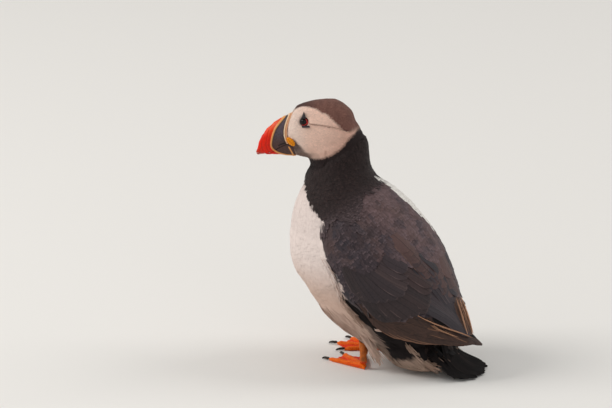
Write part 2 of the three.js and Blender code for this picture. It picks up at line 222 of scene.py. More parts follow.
def rounded(points, closed=False, steps=6):  # a smooth line through a few points
    pts = [np.array(p, float) for p in points]
    count = len(pts)
    line = []
    for i in range(count if closed else count - 1):
        if closed:
            a, b, c, d = (pts[(i + k) % count] for k in (-1, 0, 1, 2))
        else:
            b, c = pts[i], pts[i + 1]
            a = pts[i - 1] if i else 2 * b - c
            d = pts[i + 2] if i + 2 < count else 2 * c - b
        line.extend(tuple(curved(a, b, c, d, k / steps)) for k in range(steps))
    if not closed:
        line.append(tuple(pts[-1]))
    return line


# The head's own frame, in millimetres: bill towards -Y, crown towards +Z, left cheek at +X

headPlace = {"centre": (0, -40.67, 188.5), "yaw": 27, "roll": 8}
headCentre = np.array(headPlace["centre"])
headTurn = np.array(Matrix.Rotation(math.radians(headPlace["yaw"]), 3, "Z")
                    @ Matrix.Rotation(math.radians(-headPlace["roll"]), 3, "Y"))


def inHead(points):  # metres in the row frame to millimetres in the head's frame
    return (points / mm - headCentre) @ headTurn


def fromHead(points):
    return (np.asarray(points, float) @ headTurn.T + headCentre) * mm


# Camera, floor and light

cameraSet = {"azimuth": 115, "elevation": 17, "distance": 6.0, "lens": 436.4, "sensor": 36,
             "target": (-0.0089, -0.0684, 0.1209)}


def makeCamera():
    azimuth, elevation = math.radians(cameraSet["azimuth"]), math.radians(cameraSet["elevation"])
    back = Vector((math.sin(azimuth) * math.cos(elevation), -math.cos(azimuth) * math.cos(elevation),
                   math.sin(elevation)))
    data = bpy.data.cameras.new("camera")
    data.lens = cameraSet["lens"]
    data.sensor_width = cameraSet["sensor"]
    data.clip_end = 50
    camera = bpy.data.objects.new("camera", data)
    bpy.context.scene.collection.objects.link(camera)
    camera.location = Vector(cameraSet["target"]) + back * cameraSet["distance"]
    camera.rotation_euler = (-back).to_track_quat("-Z", "Y").to_euler()
    bpy.context.scene.camera = camera


lightSet = {
    "lamps": {  # place, size, power and colour
        "keyLamp": ((0.75, -1.9, 1.9), 1.4, 36.0, (1, 0.98, 0.95)),
        "fillLamp": ((2.0, 1.6, 1.1), 2.0, 6.0, (0.96, 0.98, 1)),
        "backLamp": ((-1.3, 1.7, 2.2), 1.6, 24.0, (1, 0.99, 0.97)),
    },
    "target": (0, 0, 0.1), "sky": 0.5, "skyColour": (1, 0.99, 0.97, 1), "backdrop": (0.86, 0.85, 0.83, 1),
}


def addLamp(title, place, size, power, colour):
    data = bpy.data.lights.new(title, "AREA")
    data.shape = "DISK"
    data.size = size
    data.energy = power
    data.color = colour
    lamp = bpy.data.objects.new(title, data)
    bpy.context.scene.collection.objects.link(lamp)
    lamp.location = place
    lamp.rotation_euler = (Vector(lightSet["target"]) - Vector(place)).to_track_quat("-Z", "Y").to_euler()


def makeLights():
    for title, (place, size, power, colour) in lightSet["lamps"].items():
        addLamp(title, place, size, power, colour)
    world = bpy.data.worlds.new("studio")
    bpy.context.scene.world = world
    bpy.context.scene.view_settings.view_transform = "Standard"
    world.use_nodes = True
    nodes, links = world.node_tree.nodes, world.node_tree.links
    nodes.clear()
    out = nodes.new("ShaderNodeOutputWorld")
    path = nodes.new("ShaderNodeLightPath")
    seen = nodes.new("ShaderNodeBackground")
    seen.inputs["Color"].default_value = lightSet["backdrop"]
    sky = nodes.new("ShaderNodeBackground")
    sky.inputs["Color"].default_value = lightSet["skyColour"]
    sky.inputs["Strength"].default_value = lightSet["sky"]
    mix = nodes.new("ShaderNodeMixShader")
    links.new(path.outputs["Is Camera Ray"], mix.inputs["Fac"])
    links.new(sky.outputs["Background"], mix.inputs[1])
    links.new(seen.outputs["Background"], mix.inputs[2])
    links.new(mix.outputs["Shader"], out.inputs["Surface"])


floorSet = {"size": 14, "colour": (0.80, 0.785, 0.76, 1), "roughness": 0.9}


def makeFloor():
    deselectAll()
    bpy.ops.mesh.primitive_plane_add(size=floorSet["size"], location=(0, 0, 0))
    floor = bpy.context.object
    floor.name = "floor"
    material = bpy.data.materials.new("paleFloor")
    material.use_nodes = True
    shader = material.node_tree.nodes["Principled BSDF"]
    shader.inputs["Base Color"].default_value = floorSet["colour"]
    shader.inputs["Roughness"].default_value = floorSet["roughness"]
    floor.data.materials.append(material)


makeCamera()
makeLights()
makeFloor()
print("camera, light and floor ready")


# Plumage colours, the same for the skin and the coat. The marks are outlines in millimetres.

faceMarks = {
    "patch": rounded([(-30.6, 17), (-26.4, 19.8), (-21.3, 20.5), (-15.6, 19.9), (-10, 18), (-6, 15.7),
                      (-2, 12.2), (2.5, 7.7), (7.1, 3.6), (11.2, 2), (16.5, 2.4), (19.2, 3),
                      (16.5, -0.1), (12.4, -3.2),
                      (8.2, -8.4), (3.6, -12.8), (-2.2, -16.6), (-8.5, -19.4), (-14, -20.6), (-22, -21.6),
                      (-34, -24), (-40, -6), (-36, 8)], closed=True, steps=4),
    "capHalf": ((-34, -30, -26.4, -21.3, -15.6, -10, -6, 0), (0.3, 1.4, 4.4, 7.3, 10.8, 14.2, 16.5, 30)),
    "capLow": ((-34, -10, -6, -2, 2.5, 7.1, 11.2, 16.5, 26), (15, 15, 13, 11, 7.7, 4, 2.4, 2.8, 4)),
    "crease": rounded([(-19.5, 8.2), (-17.9, 7.6), (-10.7, 7), (-3.6, 5.8), (2.7, 4.6), (9, 3.1), (14, 2.4)]),
    "slaty": rounded([(-33, -8.4), (-30, -11.4), (-27.4, -14.4), (-24.4, -17.8), (-20, -19.4), (-14, -18.8)]),
}

trunkAxis = {"height": (19, 29, 43, 61, 82, 103, 124, 142, 157),
             "back": (60, 42, 23, 6, -9, -20, -29, -35, -38)}
bib = {"height": (14, 26, 40, 60, 77, 90, 95, 102, 114, 122, 126, 129, 134, 141, 145, 149, 154, 158),
       "around": (100, 80, 100, 112, 112, 106, 96, 89, 83, 87, 93, 94, 84, 73, 64, 49, 26, 4)}
overWing = {"height": (44, 51, 60, 64, 78, 88, 95, 104), "back": (6, 1.7, -4.2, -8, -8.9, -14.3, -22.7, -40)}
darkFlank = rounded([(-13, 78), (-9.5, 65), (-3, 53), (5, 43.5), (8.5, 34), (11, 25), (17, 18.5), (27, 14.5),
                     (40, 13), (46, 17), (55, 15), (72, 12), (76, 40), (50, 90), (10, 100)],
                    closed=True, steps=3)
whiteShoulder = {"back": (-8, -6, 1, 9, 15, 22, 30, 37), "inner": (-3, -6, -7, -4, -6, -9, -15, -32),
                 "width": 12.5, "front": -8.5, "rear": 37, "above": 112, "ragged": 1.2}

shade = {
    "breast": tone(236, 221, 215), "belly": tone(214, 184, 168), "vent": tone(188, 160, 142),
    "fluff": tone(150, 122, 106), "dusk": tone(112, 82, 70),
    "neck": tone(38, 27, 27), "back": tone(104, 83, 84), "shoulder": tone(66, 54, 56),
    # wingLow: a dark wing tone, used for the painted shade on the wing's lower part and for the tail's dark
    # mottle
    "wing": tone(62, 53, 58), "wingLow": tone(32, 28, 31),
    "scapular": tone(86, 68, 68), "rump": tone(20, 16, 17),
    "greyFringeAndSheen": tone(134, 114, 118), "flank": tone(26, 19, 19),
    "faceFront": tone(252, 228, 214), "faceMid": tone(244, 207, 189), "faceRear": tone(204, 159, 141),
    "crown": tone(122, 84, 74), "crownFront": tone(80, 54, 50), "hairline": tone(196, 166, 150),
    "strip": tone(244, 240, 234), "blueBlack": tone(50, 50, 60), "brownBlack": tone(92, 70, 66),
    "slaty": tone(92, 74, 70), "chin": tone(130, 104, 94), "crease": tone(140, 106, 92),
    "buff": tone(206, 156, 124), "buffDark": tone(140, 102, 80),
}


def headTones(points):
    x, y, z = inHead(points).T
    patch = loopDistance(y, z, faceMarks["patch"])
    cap = np.interp(y, *faceMarks["capHalf"]) - np.abs(x)
    white = np.where((z > 8) & (y < -8), np.minimum(patch, -cap), patch)
    rear = smoothStep(y * 0.8 - z * 0.45, -14, 16)
    face = mixed(shade["faceFront"], shade["faceMid"], smoothStep(y, -34, -16))
    face = mixed(face, shade["faceRear"], rear * 0.7)
    # painted shade: a darker band along the cheek's lower edge, inside the patch's border
    low = (1 - smoothStep(patch, 0, 6)) * smoothStep(-z, -4, 6) * smoothStep(y, -16, -4)
    patches = smoothStep(waviness(points, 700, 9), 0.2, 1)
    face = mixed(face, shade["faceRear"], 0.45 * low + 0.3 * patches * rear)
    gap, along = lineDistance(y, z, faceMarks["crease"])
    face = mixed(face, shade["crease"] * 0.8, 0.95 * (1 - smoothStep(gap, 0.2, 0.9)) * (1 - 0.4 * along))
    # painted shade: a soft darker band below the crease line
    face = mixed(face, shade["faceRear"], 0.35 * (1 - smoothStep(gap, 0.4, 3.2)) * (z < 7.5))
    gap, along = lineDistance(y, z, faceMarks["slaty"])
    face = mixed(face, shade["slaty"], (1 - smoothStep(gap, 2.0, 4.2)) * (1 - along ** 2 * 0.75))
    face = mixed(face, shade["chin"], (1 - smoothStep(np.abs(x), 4, 9)) * (z < -16) * 0.8)
    crown = mixed(shade["crownFront"], shade["crown"], smoothStep(y, -26, -8))
    crown = mixed(crown, shade["crownFront"], 0.35 * smoothStep(waviness(points, 900, 3), 0, 1))
    low = np.interp(y, *faceMarks["capLow"])
    dark = mixed(shade["neck"], crown, smoothStep(z - low, -0.6, 0.8))
    nearLine = 1 - smoothStep(np.abs(z - low), 0.5, 1.6)
    dark = mixed(dark, shade["hairline"], 0.5 * nearLine * smoothStep(y, 12, 16))
    return mixed(dark, face, smoothStep(white, -0.35, 0.35))


def aroundTrunk(points):  # degrees round the trunk from its breast line, and height in millimetres
    x, y, z = (points / mm).T
    axis = np.interp(z, trunkAxis["height"], trunkAxis["back"])
    return np.degrees(np.arctan2(np.abs(x), axis - y)), z


def shoulderShare(points):  # 1 on the white tuft that shows over the right shoulder
    x, y, z = (points / mm).T
    inner = np.interp(y, whiteShoulder["back"], whiteShoulder["inner"])
    reach = np.minimum(inner - x, x - inner + whiteShoulder["width"])
    reach = reach + whiteShoulder["ragged"] * waviness(points, 600, 15)
    ends = np.minimum(y - whiteShoulder["front"], whiteShoulder["rear"] - y)
    return smoothStep(np.minimum(reach, ends * 0.6), -0.5, 0.5) * (z > whiteShoulder["above"])


def trunkTones(points):
    around, z = aroundTrunk(points)
    ragged = 1.6 * waviness(points, 700, 5) + 2.2 * waviness(points, 240, 6)
    white = np.interp(z, bib["height"], bib["around"]) - around + ragged
    under = mixed(shade["vent"], shade["belly"], smoothStep(z, 18, 40))
    under = mixed(under, shade["breast"], smoothStep(z, 55, 100))
    under = mixed(under, shade["dusk"], 0.3 * smoothStep(around, 48, 88) * (1 - smoothStep(z, 62, 92)))
    flank = loopDistance(points[:, 1] / mm, z, darkFlank) + 0.5 * ragged
    under = mixed(under, shade["flank"], smoothStep(flank, -1, 1))
    dark = mixed(shade["shoulder"], shade["neck"], smoothStep(z - 0.7 * points[:, 1] / mm, 134, 168))
    rump = mixed(shade["vent"], shade["rump"], smoothStep(flank, -1, 1))
    dark = mixed(rump, dark, smoothStep(z, 44, 60))
    colours = mixed(dark, under, smoothStep(np.where(z < 60, 9, white), -1.2, 1.2))
    return mixed(colours, shade["strip"], shoulderShare(points))


def mottled(colours, points, seed):  # soft patches of bluer and browner black
    cool = smoothStep(waviness(points, 330, seed) + 0.5 * waviness(points, 900, seed + 1), -0.1, 0.9)
    warm = smoothStep(waviness(points, 280, seed + 2) + 0.5 * waviness(points, 800, seed + 3), 0.0, 1.0)
    colours = mixed(colours, shade["blueBlack"], 0.6 * cool)
    return mixed(colours, shade["brownBlack"], 0.5 * warm)


def backTones(points):
    x, y, z = (points / mm).T
    back = mixed(shade["back"], shade["wing"] * 0.8, smoothStep(np.abs(x), 24, 42) * smoothStep(z, 96, 124))
    back = mixed(back, shade["neck"] * 1.2, 0.75 * smoothStep(z - 0.9 * y + 0.4 * np.abs(x), 140, 172))
    back = mixed(back, shade["scapular"], 0.8 * (1 - smoothStep(z, 72, 104)))
    return mixed(mottled(back, points, 60), shade["strip"], shoulderShare(points))


def wingTones(points):
    y, z = points[:, 1] / mm, points[:, 2] / mm
    # painted shade: the wing is painted darker towards its lower edge
    low = 1 - smoothStep(z + 0.45 * y, 62, 92)
    colours = mottled(mixed(shade["wing"], shade["wingLow"], 0.85 * low), points, 70)
    shoulder = smoothStep(z, 108, 127) * (1 - smoothStep(y, -12, 12))
    colours = mixed(colours, shade["neck"] * 1.2, 0.35 * shoulder)
    front = np.interp(z, overWing["height"], overWing["back"]) - y + 0.8 * waviness(points, 500, 8)
    white = mixed(shade["belly"], shade["breast"], smoothStep(z, 55, 92))
    return mixed(colours, white, smoothStep(front, -0.8, 0.8) * (z > 40))


def tailTones(points):
    return mixed(shade["rump"], shade["wingLow"], 0.3 * smoothStep(waviness(points, 500, 81), -0.5, 1))


flesh = {  # the CAD nodes of the skin, how deep the coat lies over each, in millimetres, and their colours
    "head": (0.8, headTones), "neck": (1.2, trunkTones), "trunk": (1.6, trunkTones),
    "mantle": (1.7, backTones), "wing_left": (1.9, wingTones), "wing_right": (1.9, wingTones),
    "primaries_left": (0.9, tailTones), "primaries_right": (0.9, tailTones), "tail": (0.7, tailTones),
}
fleshNames = list(flesh)
bareNames = ["leg_left", "foot_left", "leg_right", "foot_right"]


def plumageTones(points, owners):  # owners: the place in fleshNames of the node that each point lies on
    colours = np.zeros((len(points), 3))
    for i, name in enumerate(fleshNames):
        mine = owners == i
        if mine.any():
            colours[mine] = flesh[name][1](points[mine])
    mine = owners >= len(fleshNames)
    if mine.any():
        colours[mine] = footTones(points[mine])
    return colours


# The skin

skinSet = {"voxel": 1.4 * mm, "swell": 0.25 * mm, "soften": 6, "footVoxel": 0.42 * mm, "footSoften": 3}


class NodeFinder:  # tells which CAD node is nearest to a point
    def __init__(self, names):
        corners, faces, owners = [], [], []
        start = 0
        for i, name in enumerate(names):
            mesh = frame["nodes"][name].data
            corners.extend(v.co.copy() for v in mesh.vertices)
            for polygon in mesh.polygons:
                faces.append([start + k for k in polygon.vertices])
                owners.append(i)
            start += len(mesh.vertices)
        self.tree = BVHTree.FromPolygons(corners, faces)
        self.owners = np.array(owners)

    def at(self, points):
        return np.array([self.owners[self.tree.find_nearest(Vector(p))[2]] for p in points])


# Where the CAD nodes meet, the skin is evened, and the nape, throat, chin and belly get their own soft form.
formSet = {
    "blur": 14, "rounds": 90, "throat": 2.6, "chin": 3.0, "base": 1.0, "belly": 3.4,
    # nape, its upper part, rear of the crown, lower nape: push, middle height, tallness, width, start and end
    "rear": ((3.4, 0.5, 4, 13, 6, 14), (1.2, 4.8, 3.4, 13, 6, 14), (2.2, 16.5, 5.5, 14, 3, 12),
             (-1.0, -5, 3, 13, 8, 16)),
}


def bell(value, middle, width):
    return np.exp(-((value - middle) / width) ** 2)


def evenJunctions(body, finder):
    points = places(body)
    owners = finder.at(points)
    meets = np.zeros(len(points))
    for names in (("head",), ("neck",), ("mantle",), ("wing_left", "wing_right")):
        mine = np.isin(owners, [fleshNames.index(n) for n in names]).astype(float)
        share = spread(body, mine, formSet["blur"])
        share = smoothStep(4 * share * (1 - share), 0, 0.6)
        meets = np.maximum(meets, share * (0.4 if "wing_left" in names else 1.0))
    meets *= smoothStep(inHead(points)[:, 1], -30, -12)
    even = spread(body, points, formSet["rounds"])
    points = points + (even - points) * meets[:, None]
    x, y, z = inHead(points).T
    back = np.zeros(len(z))
    for push, height, tall, wide, start, end in formSet["rear"]:
        back += push * bell(z, height, tall) * bell(x, 0, wide) * smoothStep(y, start, end)
    throat = formSet["throat"] * bell(z, -28, 5) * bell(x, 0, 15)
    back += throat * smoothStep(-y, 6, 14) * smoothStep(y, -29, -24)
    back -= formSet["base"] * bell(y, -31, 4) * smoothStep(-z, 8, 12)  # meets the bill's base
    down = formSet["chin"] * bell(y, -23, 5) * bell(z, -20, 3.5) * bell(x, 0, 10)
    points += (np.stack([0 * x, back, -down], 1) @ headTurn.T) * mm
    around, z = aroundTrunk(points)
    belly = formSet["belly"] * bell(z, 56, 15) * (1 - smoothStep(around, 45, 80)) * (z < 100)
    setPlaces(body, points - normalsOf(body) * (belly * mm)[:, None])
    applied(body, "SMOOTH", factor=0.5, iterations=2)


tailDraw = {"root": 36, "from": 38, "full": 57, "share": 0.055, "sideShare": 0.3, "behind": 60, "below": 20}


def drawnInTail(points):  # the long feathers alone make the edge of the fan
    fromRoot = points - np.array([0, tailDraw["root"] * mm, 0])
    reach = np.hypot(fromRoot[:, 0], fromRoot[:, 1]) / mm
    onFan = (points[:, 1] > tailDraw["behind"] * mm) * (points[:, 2] < tailDraw["below"] * mm)
    share = tailDraw["share"] * smoothStep(reach, tailDraw["from"], tailDraw["full"]) * onFan
    return points - fromRoot * np.array([tailDraw["sideShare"], 1, 0]) * share[:, None]


def makeSkin():
    body = copyOfNodes(fleshNames, "skin")
    remeshed(body, skinSet["voxel"], skinSet["swell"], skinSet["soften"])
    keepLargest(body)
    finder = NodeFinder(fleshNames + bareNames)
    points = places(body)
    owners = np.minimum(finder.at(points), len(fleshNames) - 1)
    depths = np.array([flesh[name][0] for name in fleshNames])[owners]
    y = inHead(points)[:, 1]
    face = (owners == fleshNames.index("head")) & (y < -12)
    depths = np.where(face, 0.7 * smoothStep(y, -32, -25), depths)
    depths = spread(body, depths * mm + skinSet["swell"], 10)
    setPlaces(body, drawnInTail(points - normalsOf(body) * depths[:, None]))
    evenJunctions(body, finder)
    return body, finder


# Legs and feet are finer than the body and are joined to it as one skin.
footSet = {"heelSpread": 25, "steps": {"left": -1.67, "right": -10.67}, "toeIn": {"left": 40, "right": 2},
           "toes": ((27, 36), (0, 38), (-27, 29)), "scale": 1.7, "scaleRise": 0.1, "scaleDepth": 0.16,
           "webFold": 0.16, "webGrain": 0.05, "knuckle": 0.35,
           "knuckles": (0.36, 0.66, 0.94), "shankScale": 1.9, "shankDepth": 0.14, "swell": 0.16}


def inFoot(points, side):  # millimetres from the heel, the middle toe along -Y and the outer toe at +X
    sign = 1 if side == "left" else -1
    turn = math.radians(-footSet["toeIn"][side])
    x, y, z = (points / mm).T
    x = x * sign - footSet["heelSpread"]
    y = y - footSet["steps"][side]
    return np.stack([x * math.cos(turn) + y * math.sin(turn), -x * math.sin(turn) + y * math.cos(turn), z], 1)


def toeFrame(local):  # distance out along the nearest toe, and away from its middle line
    reach = np.hypot(local[:, 0], local[:, 1])
    turn = np.degrees(np.arctan2(local[:, 0], -local[:, 1]))
    away = np.full(len(local), 1e9)
    along = np.zeros(len(local))
    for angle, length in footSet["toes"]:
        off = np.radians(turn - angle)
        side = np.abs(reach * np.sin(off))
        out = reach * np.cos(off)
        side = np.where(out < 0, reach, side) + 3 * np.maximum(out - length, 0)
        along = np.where(side < away, out, along)
        away = np.minimum(away, side)
    return along, away, turn


def feet(points):  # for each foot, which points are its own and where they are in its frame
    for side, sign in (("left", 1), ("right", -1)):
        mine = points[:, 0] * sign > 0
        yield mine, inFoot(points[mine], side)


def jointShare(along, pitch):  # 1 where two scales meet, 0 at the middle of each
    return np.abs((along / pitch) % 1 - 0.5) * 2


footPaint = {"toe": tone(255, 116, 14), "web": tone(244, 50, 4), "webDeep": tone(206, 36, 4),
             "shank": tone(206, 110, 40), "shankMottleAndShade": tone(120, 70, 36), "sole": tone(170, 110, 60)}


def footTones(points):
    colours = np.zeros((len(points), 3))
    for mine, local in feet(points):
        along, away, _ = toeFrame(local)
        reach = np.hypot(local[:, 0], local[:, 1])
        patches = smoothStep(waviness(local * mm, 1800, 41), 0, 1)
        web = mixed(footPaint["web"], footPaint["webDeep"], patches * 0.5)
        web = mixed(web, footPaint["toe"], 0.25 * smoothStep(reach, 18, 36))
        scute = jointShare(along + 0.25 * away, footSet["scale"])
        toe = mixed(footPaint["toe"], footPaint["webDeep"], 0.35 * smoothStep(scute, 0.75, 1))
        foot = mixed(toe, web, smoothStep(away, 1.7, 2.6))
        # the shank is painted darker in wavy patches, its own mottle, and at its rear, painted shade
        darker = 0.5 * smoothStep(waviness(local * mm, 900, 42), -0.3, 0.9)
        darker += 0.3 * smoothStep(local[:, 1], 0, 3)
        shank = mixed(footPaint["shank"], footPaint["shankMottleAndShade"], darker)
        foot = mixed(foot, shank, smoothStep(local[:, 2], 4.5, 8))
        colours[mine] = mixed(foot, footPaint["sole"], 0.7 * (1 - smoothStep(local[:, 2], 0.05, 0.35)))
    return colours


def makeLegs():
    legs = copyOfNodes(bareNames, "legs")
    remeshed(legs, skinSet["footVoxel"], footSet["swell"] * mm, skinSet["footSoften"])
    points, normals = places(legs), normalsOf(legs)
    push = np.full(len(points), -footSet["swell"])
    for mine, local in feet(points):
        along, away, turn = toeFrame(local)
        low = 1 - smoothStep(local[:, 2], 5, 9)
        top = smoothStep(normals[mine, 2], -0.2, 0.5)
        scute = jointShare(along + 0.25 * away, footSet["scale"])
        onToe = 1 - smoothStep(away, 1.6, 2.6)
        reach = np.hypot(local[:, 0], local[:, 1])
        fold = np.sin(np.radians(turn) * 46 + 0.5 * np.sin(reach * 0.35))
        grain = np.sin(local[:, 0] * 5.2) * np.sin(local[:, 1] * 5.2)
        shape = onToe * (footSet["scaleRise"] - footSet["scaleDepth"] * smoothStep(scute, 0.72, 1.0))
        web = footSet["webFold"] * fold + footSet["webGrain"] * grain
        web = (1 - onToe) * smoothStep(reach, 5, 14) * web
        knuckle = sum(bell(along / 36, share, 0.07) for share in footSet["knuckles"])
        knuckle = footSet["knuckle"] * onToe * knuckle
        ring = smoothStep(jointShare(local[:, 2], footSet["shankScale"]), 0.75, 1.0)
        shank = (1 - low) * (-footSet["shankDepth"] * ring)
        push[mine] += low * top * (shape + web + knuckle) + shank
    setPlaces(legs, points + normals * push[:, None] * mm)
    return legs


def joinSkin():  # one closed skin of the body and the legs
    body, finder = makeSkin()
    legs = makeLegs()
    applied(body, "BOOLEAN", operation="UNION", object=legs, solver="MANIFOLD")
    bpy.data.objects.remove(legs)
    return body, finder


skin, finder = joinSkin()
print("skin", len(skin.data.vertices), "points")


# Each kind of feather vane is modelled once, in a few variants, and then copied along the lie of the coat. It
# lies along Y from -1 at the root to 1 at the tip. barb is how far its edge is drawn out into loose points.
def makeVane(title, rows, columns, widths, barb, camber, seed):
    deselectAll()
    bpy.ops.mesh.primitive_grid_add(x_subdivisions=columns, y_subdivisions=rows, size=2)
    vane = bpy.context.object
    vane.name = title
    bpy.ops.object.mode_set(mode="EDIT")
    bpy.ops.mesh.select_mode(type="VERT")
    bpy.ops.mesh.select_all(action="DESELECT")
    mesh = bmesh.from_edit_mesh(vane.data)
    for row in range(rows + 1):
        for vertex in mesh.verts:
            vertex.select = abs(vertex.co.y + 1 - 2 * row / rows) < 1e-4
        mesh.select_flush_mode()
        width = float(np.interp(row / rows, *widths))
        bpy.ops.transform.resize(value=(width, 1, 1), center_override=(0, 0, 0))
    bpy.ops.mesh.select_all(action="DESELECT")
    bpy.ops.mesh.select_mode(type="EDGE")
    mesh = bmesh.from_edit_mesh(vane.data)
    for edge in mesh.edges:
        edge.select = edge.is_boundary and max(v.co.y for v in edge.verts) > -0.55
    if barb:
        bpy.ops.mesh.extrude_edges_indiv()
        bpy.ops.transform.translate(value=(0, barb, 0))
        bpy.ops.transform.resize(value=(1 + 0.5 * barb, 1, 1), center_override=(0, 0, 0))
        bpy.ops.mesh.merge(type="COLLAPSE")
    mesh = bmesh.from_edit_mesh(vane.data)
    rng = np.random.default_rng(seed)
    low = 1 - 1.2 / rows
    for vertex in mesh.verts:
        if barb and vertex.co.y > -low and len(vertex.link_edges) < 3:
            vertex.co.y += rng.uniform(-0.5, 0.5) * barb
        vertex.co.z = -camber * vertex.co.x ** 2
    bpy.ops.mesh.select_all(action="SELECT")
    bpy.ops.mesh.quads_convert_to_tris()
    bpy.ops.object.mode_set(mode="OBJECT")
    points = places(vane)
    corners = np.array([tuple(polygon.vertices) for polygon in vane.data.polygons])
    first, second, third = points[corners].swapaxes(0, 1)
    under = np.cross(second - first, third - first)[:, 2] < 0
    corners[under] = corners[under][:, ::-1]
    bpy.data.objects.remove(vane)
    along = (points[:, 1] + 1) / 2
    return {"along": along / along.max(), "across": points[:, 0], "lift": points[:, 2], "corners": corners}


bodyOutline = ((0, 0.2, 0.45, 0.7, 0.88, 1), (0.3, 0.72, 1, 0.98, 0.75, 0.42))
faceOutline = ((0, 0.5, 1), (0.5, 1, 0.5))
hairOutline = ((0, 0.3, 0.7, 1), (0.4, 0.9, 0.8, 0.3))
quillOutline = ((0, 0.08, 0.3, 0.7, 0.88, 0.96, 1), (0.25, 0.6, 0.85, 1, 0.86, 0.55, 0.22))

vaneKinds = {  # how many of each, then rows, columns, outline, length of the loose barbs and camber
    "face": (3, 2, 2, faceOutline, 0.35, 0.06),
    "small": (3, 3, 3, bodyOutline, 0.26, 0.1),
    "body": (4, 4, 4, bodyOutline, 0.22, 0.1),
    "hair": (3, 4, 4, hairOutline, 0.55, 0.1),
    "quill": (1, 16, 8, quillOutline, 0.0, 0.1),
    "broad": (1, 16, 8, quillOutline, 0.0, 0.015),
}
vanes = {kind: [makeVane(kind + "Vane", *shape, k) for k in range(count)]
         for kind, (count, *shape) in vaneKinds.items()}


# The lie of the coat: the way that feathers point at each place.
mantleRun = {"height": (42, 67, 106, 143, 153), "run": ((0, 0.5, -0.86), (0, 0.5, -0.86), (0, 0.58, -0.82),
                                                      (0, 0.8, -0.6), (0, 0.85, -0.5))}
wingRun = {"back": (-26, -10, 10, 32, 55, 72, 88),
           "run": ((0.15, 0.55, -0.8), (0.1, 0.66, -0.76), (-0.1, 0.74, -0.66), (-0.35, 0.76, -0.54),
                   (-0.42, 0.76, -0.5), (-0.36, 0.76, -0.54), (-0.36, 0.76, -0.54))}


def alongTable(values, table, runs):
    runs = np.array(runs)
    return np.stack([np.interp(values, table, runs[:, k]) for k in range(3)], 1)


def lie(points, owners):
    x, y, z = (points / mm).T
    down = np.gradient(np.array(trunkAxis["back"], float), np.array(trunkAxis["height"], float))
    slope = np.interp(z, trunkAxis["height"], down)
    trunk = np.stack([0.2 * x / 45 * smoothStep(z, 60, 120), -slope, -np.ones(len(z))], 1)
    local = inHead(points)
    away = unit(local - np.array([0, -40, 3]))
    nape = smoothStep(local[:, 1], 4, 20)
    away = away * (1 - nape)[:, None] + np.array([0, 0.25, -1]) * nape[:, None]
    low = smoothStep(-local[:, 2], 12, 24)[:, None]
    away += np.array([0, 0, -0.8]) * low * smoothStep(local[:, 1], -20, -4)[:, None]
    head = away @ headTurn.T
    mantle = alongTable(z, mantleRun["height"], mantleRun["run"])
    mantle[:, 0] = -0.5 * x / 48 * (1 - smoothStep(z, 110, 140)) + 0.25 * x / 40 * smoothStep(z, 118, 140)
    wing = alongTable(y, wingRun["back"], wingRun["run"])
    wing[:, 0] *= np.sign(x)
    tail = np.stack([x / 58, np.full(len(x), 0.85), np.full(len(x), -0.45)], 1)
    result = trunk
    for name, field in (("head", head), ("mantle", mantle), ("wing_left", wing), ("wing_right", wing),
                        ("primaries_left", wing), ("primaries_right", wing), ("tail", tail)):
        mine = owners == fleshNames.index(name)
        result[mine] = field[mine]
    return unit(result)


surfaceSet = {"seamAngle": 66, "margin": 0.002, "normalRounds": 8, "flowRounds": 30, "tries": 5, "stray": 0.4}


class Surface:  # the skin as the coat sees it: nearest places, smooth normals, owners and unwrap
    def __init__(self, piece, finder):
        mesh = piece.data
        pick(piece)
        bpy.ops.object.mode_set(mode="EDIT")
        bpy.ops.mesh.select_all(action="SELECT")
        bpy.ops.uv.smart_project(angle_limit=math.radians(surfaceSet["seamAngle"]),
                                 island_margin=surfaceSet["margin"])
        bpy.ops.object.mode_set(mode="OBJECT")
        mesh.uv_layers.active.name = "OFBake"
        points = places(piece)
        normals = unit(spread(piece, normalsOf(piece), surfaceSet["normalRounds"]))
        faces = [tuple(polygon.vertices) for polygon in mesh.polygons]
        self.tree = BVHTree.FromPolygons(points.tolist(), faces)
        loopPoint = readAll(mesh.loops, "vertex_index", kind=np.int32)
        sizes = readAll(mesh.polygons, "loop_total", kind=np.int32)
        ofLoop = np.repeat(np.arange(len(faces)), sizes)

        def perFace(values):  # the mean over the corners of each face
            return np.stack([np.bincount(ofLoop, column, len(faces)) / sizes for column in values.T], 1)

        self.centres = perFace(points[loopPoint])
        self.normals = unit(perFace(normals[loopPoint]))
        self.uv = perFace(readAll(mesh.uv_layers.active.data, "uv", 2).reshape(-1, 2))
        self.areas = readAll(mesh.polygons, "area").astype(float)
        self.owners = finder.at(self.centres)
        flow = unit(spread(piece, lie(points, finder.at(points)), surfaceSet["flowRounds"]))
        self.flow = unit(perFace(flow[loopPoint]))

    def snap(self, points):
        found = [self.tree.find_nearest(Vector(p)) for p in points]
        return np.array([f[0] for f in found]), np.array([f[2] for f in found])

    def scatter(self, chance, spacing, seed):  # even random places on the faces where chance is over 0
        rng = np.random.default_rng(seed)
        weight = self.areas * np.clip(chance, 0, 1)
        count = int(weight.sum() / spacing ** 2 * surfaceSet["tries"])
        faces = rng.choice(len(weight), count, p=weight / weight.sum())
        stray = rng.normal(size=(count, 3)) * np.sqrt(self.areas[faces])[:, None] * surfaceSet["stray"]
        points = self.centres[faces] + stray
        cells = {}
        kept = []
        keys = np.floor(points / spacing).astype(int)
        for i, (point, key) in enumerate(zip(points.tolist(), map(tuple, keys.tolist()))):
            near = (other for cell in itertools.product(*((k - 1, k, k + 1) for k in key))
                    for other in cells.get(cell, ()))
            if all(math.dist(point, other) >= spacing for other in near):
                cells.setdefault(key, []).append(point)
                kept.append(i)
        return points[kept]


surface = Surface(skin, finder)
print("unwrapped", len(surface.areas), "faces")


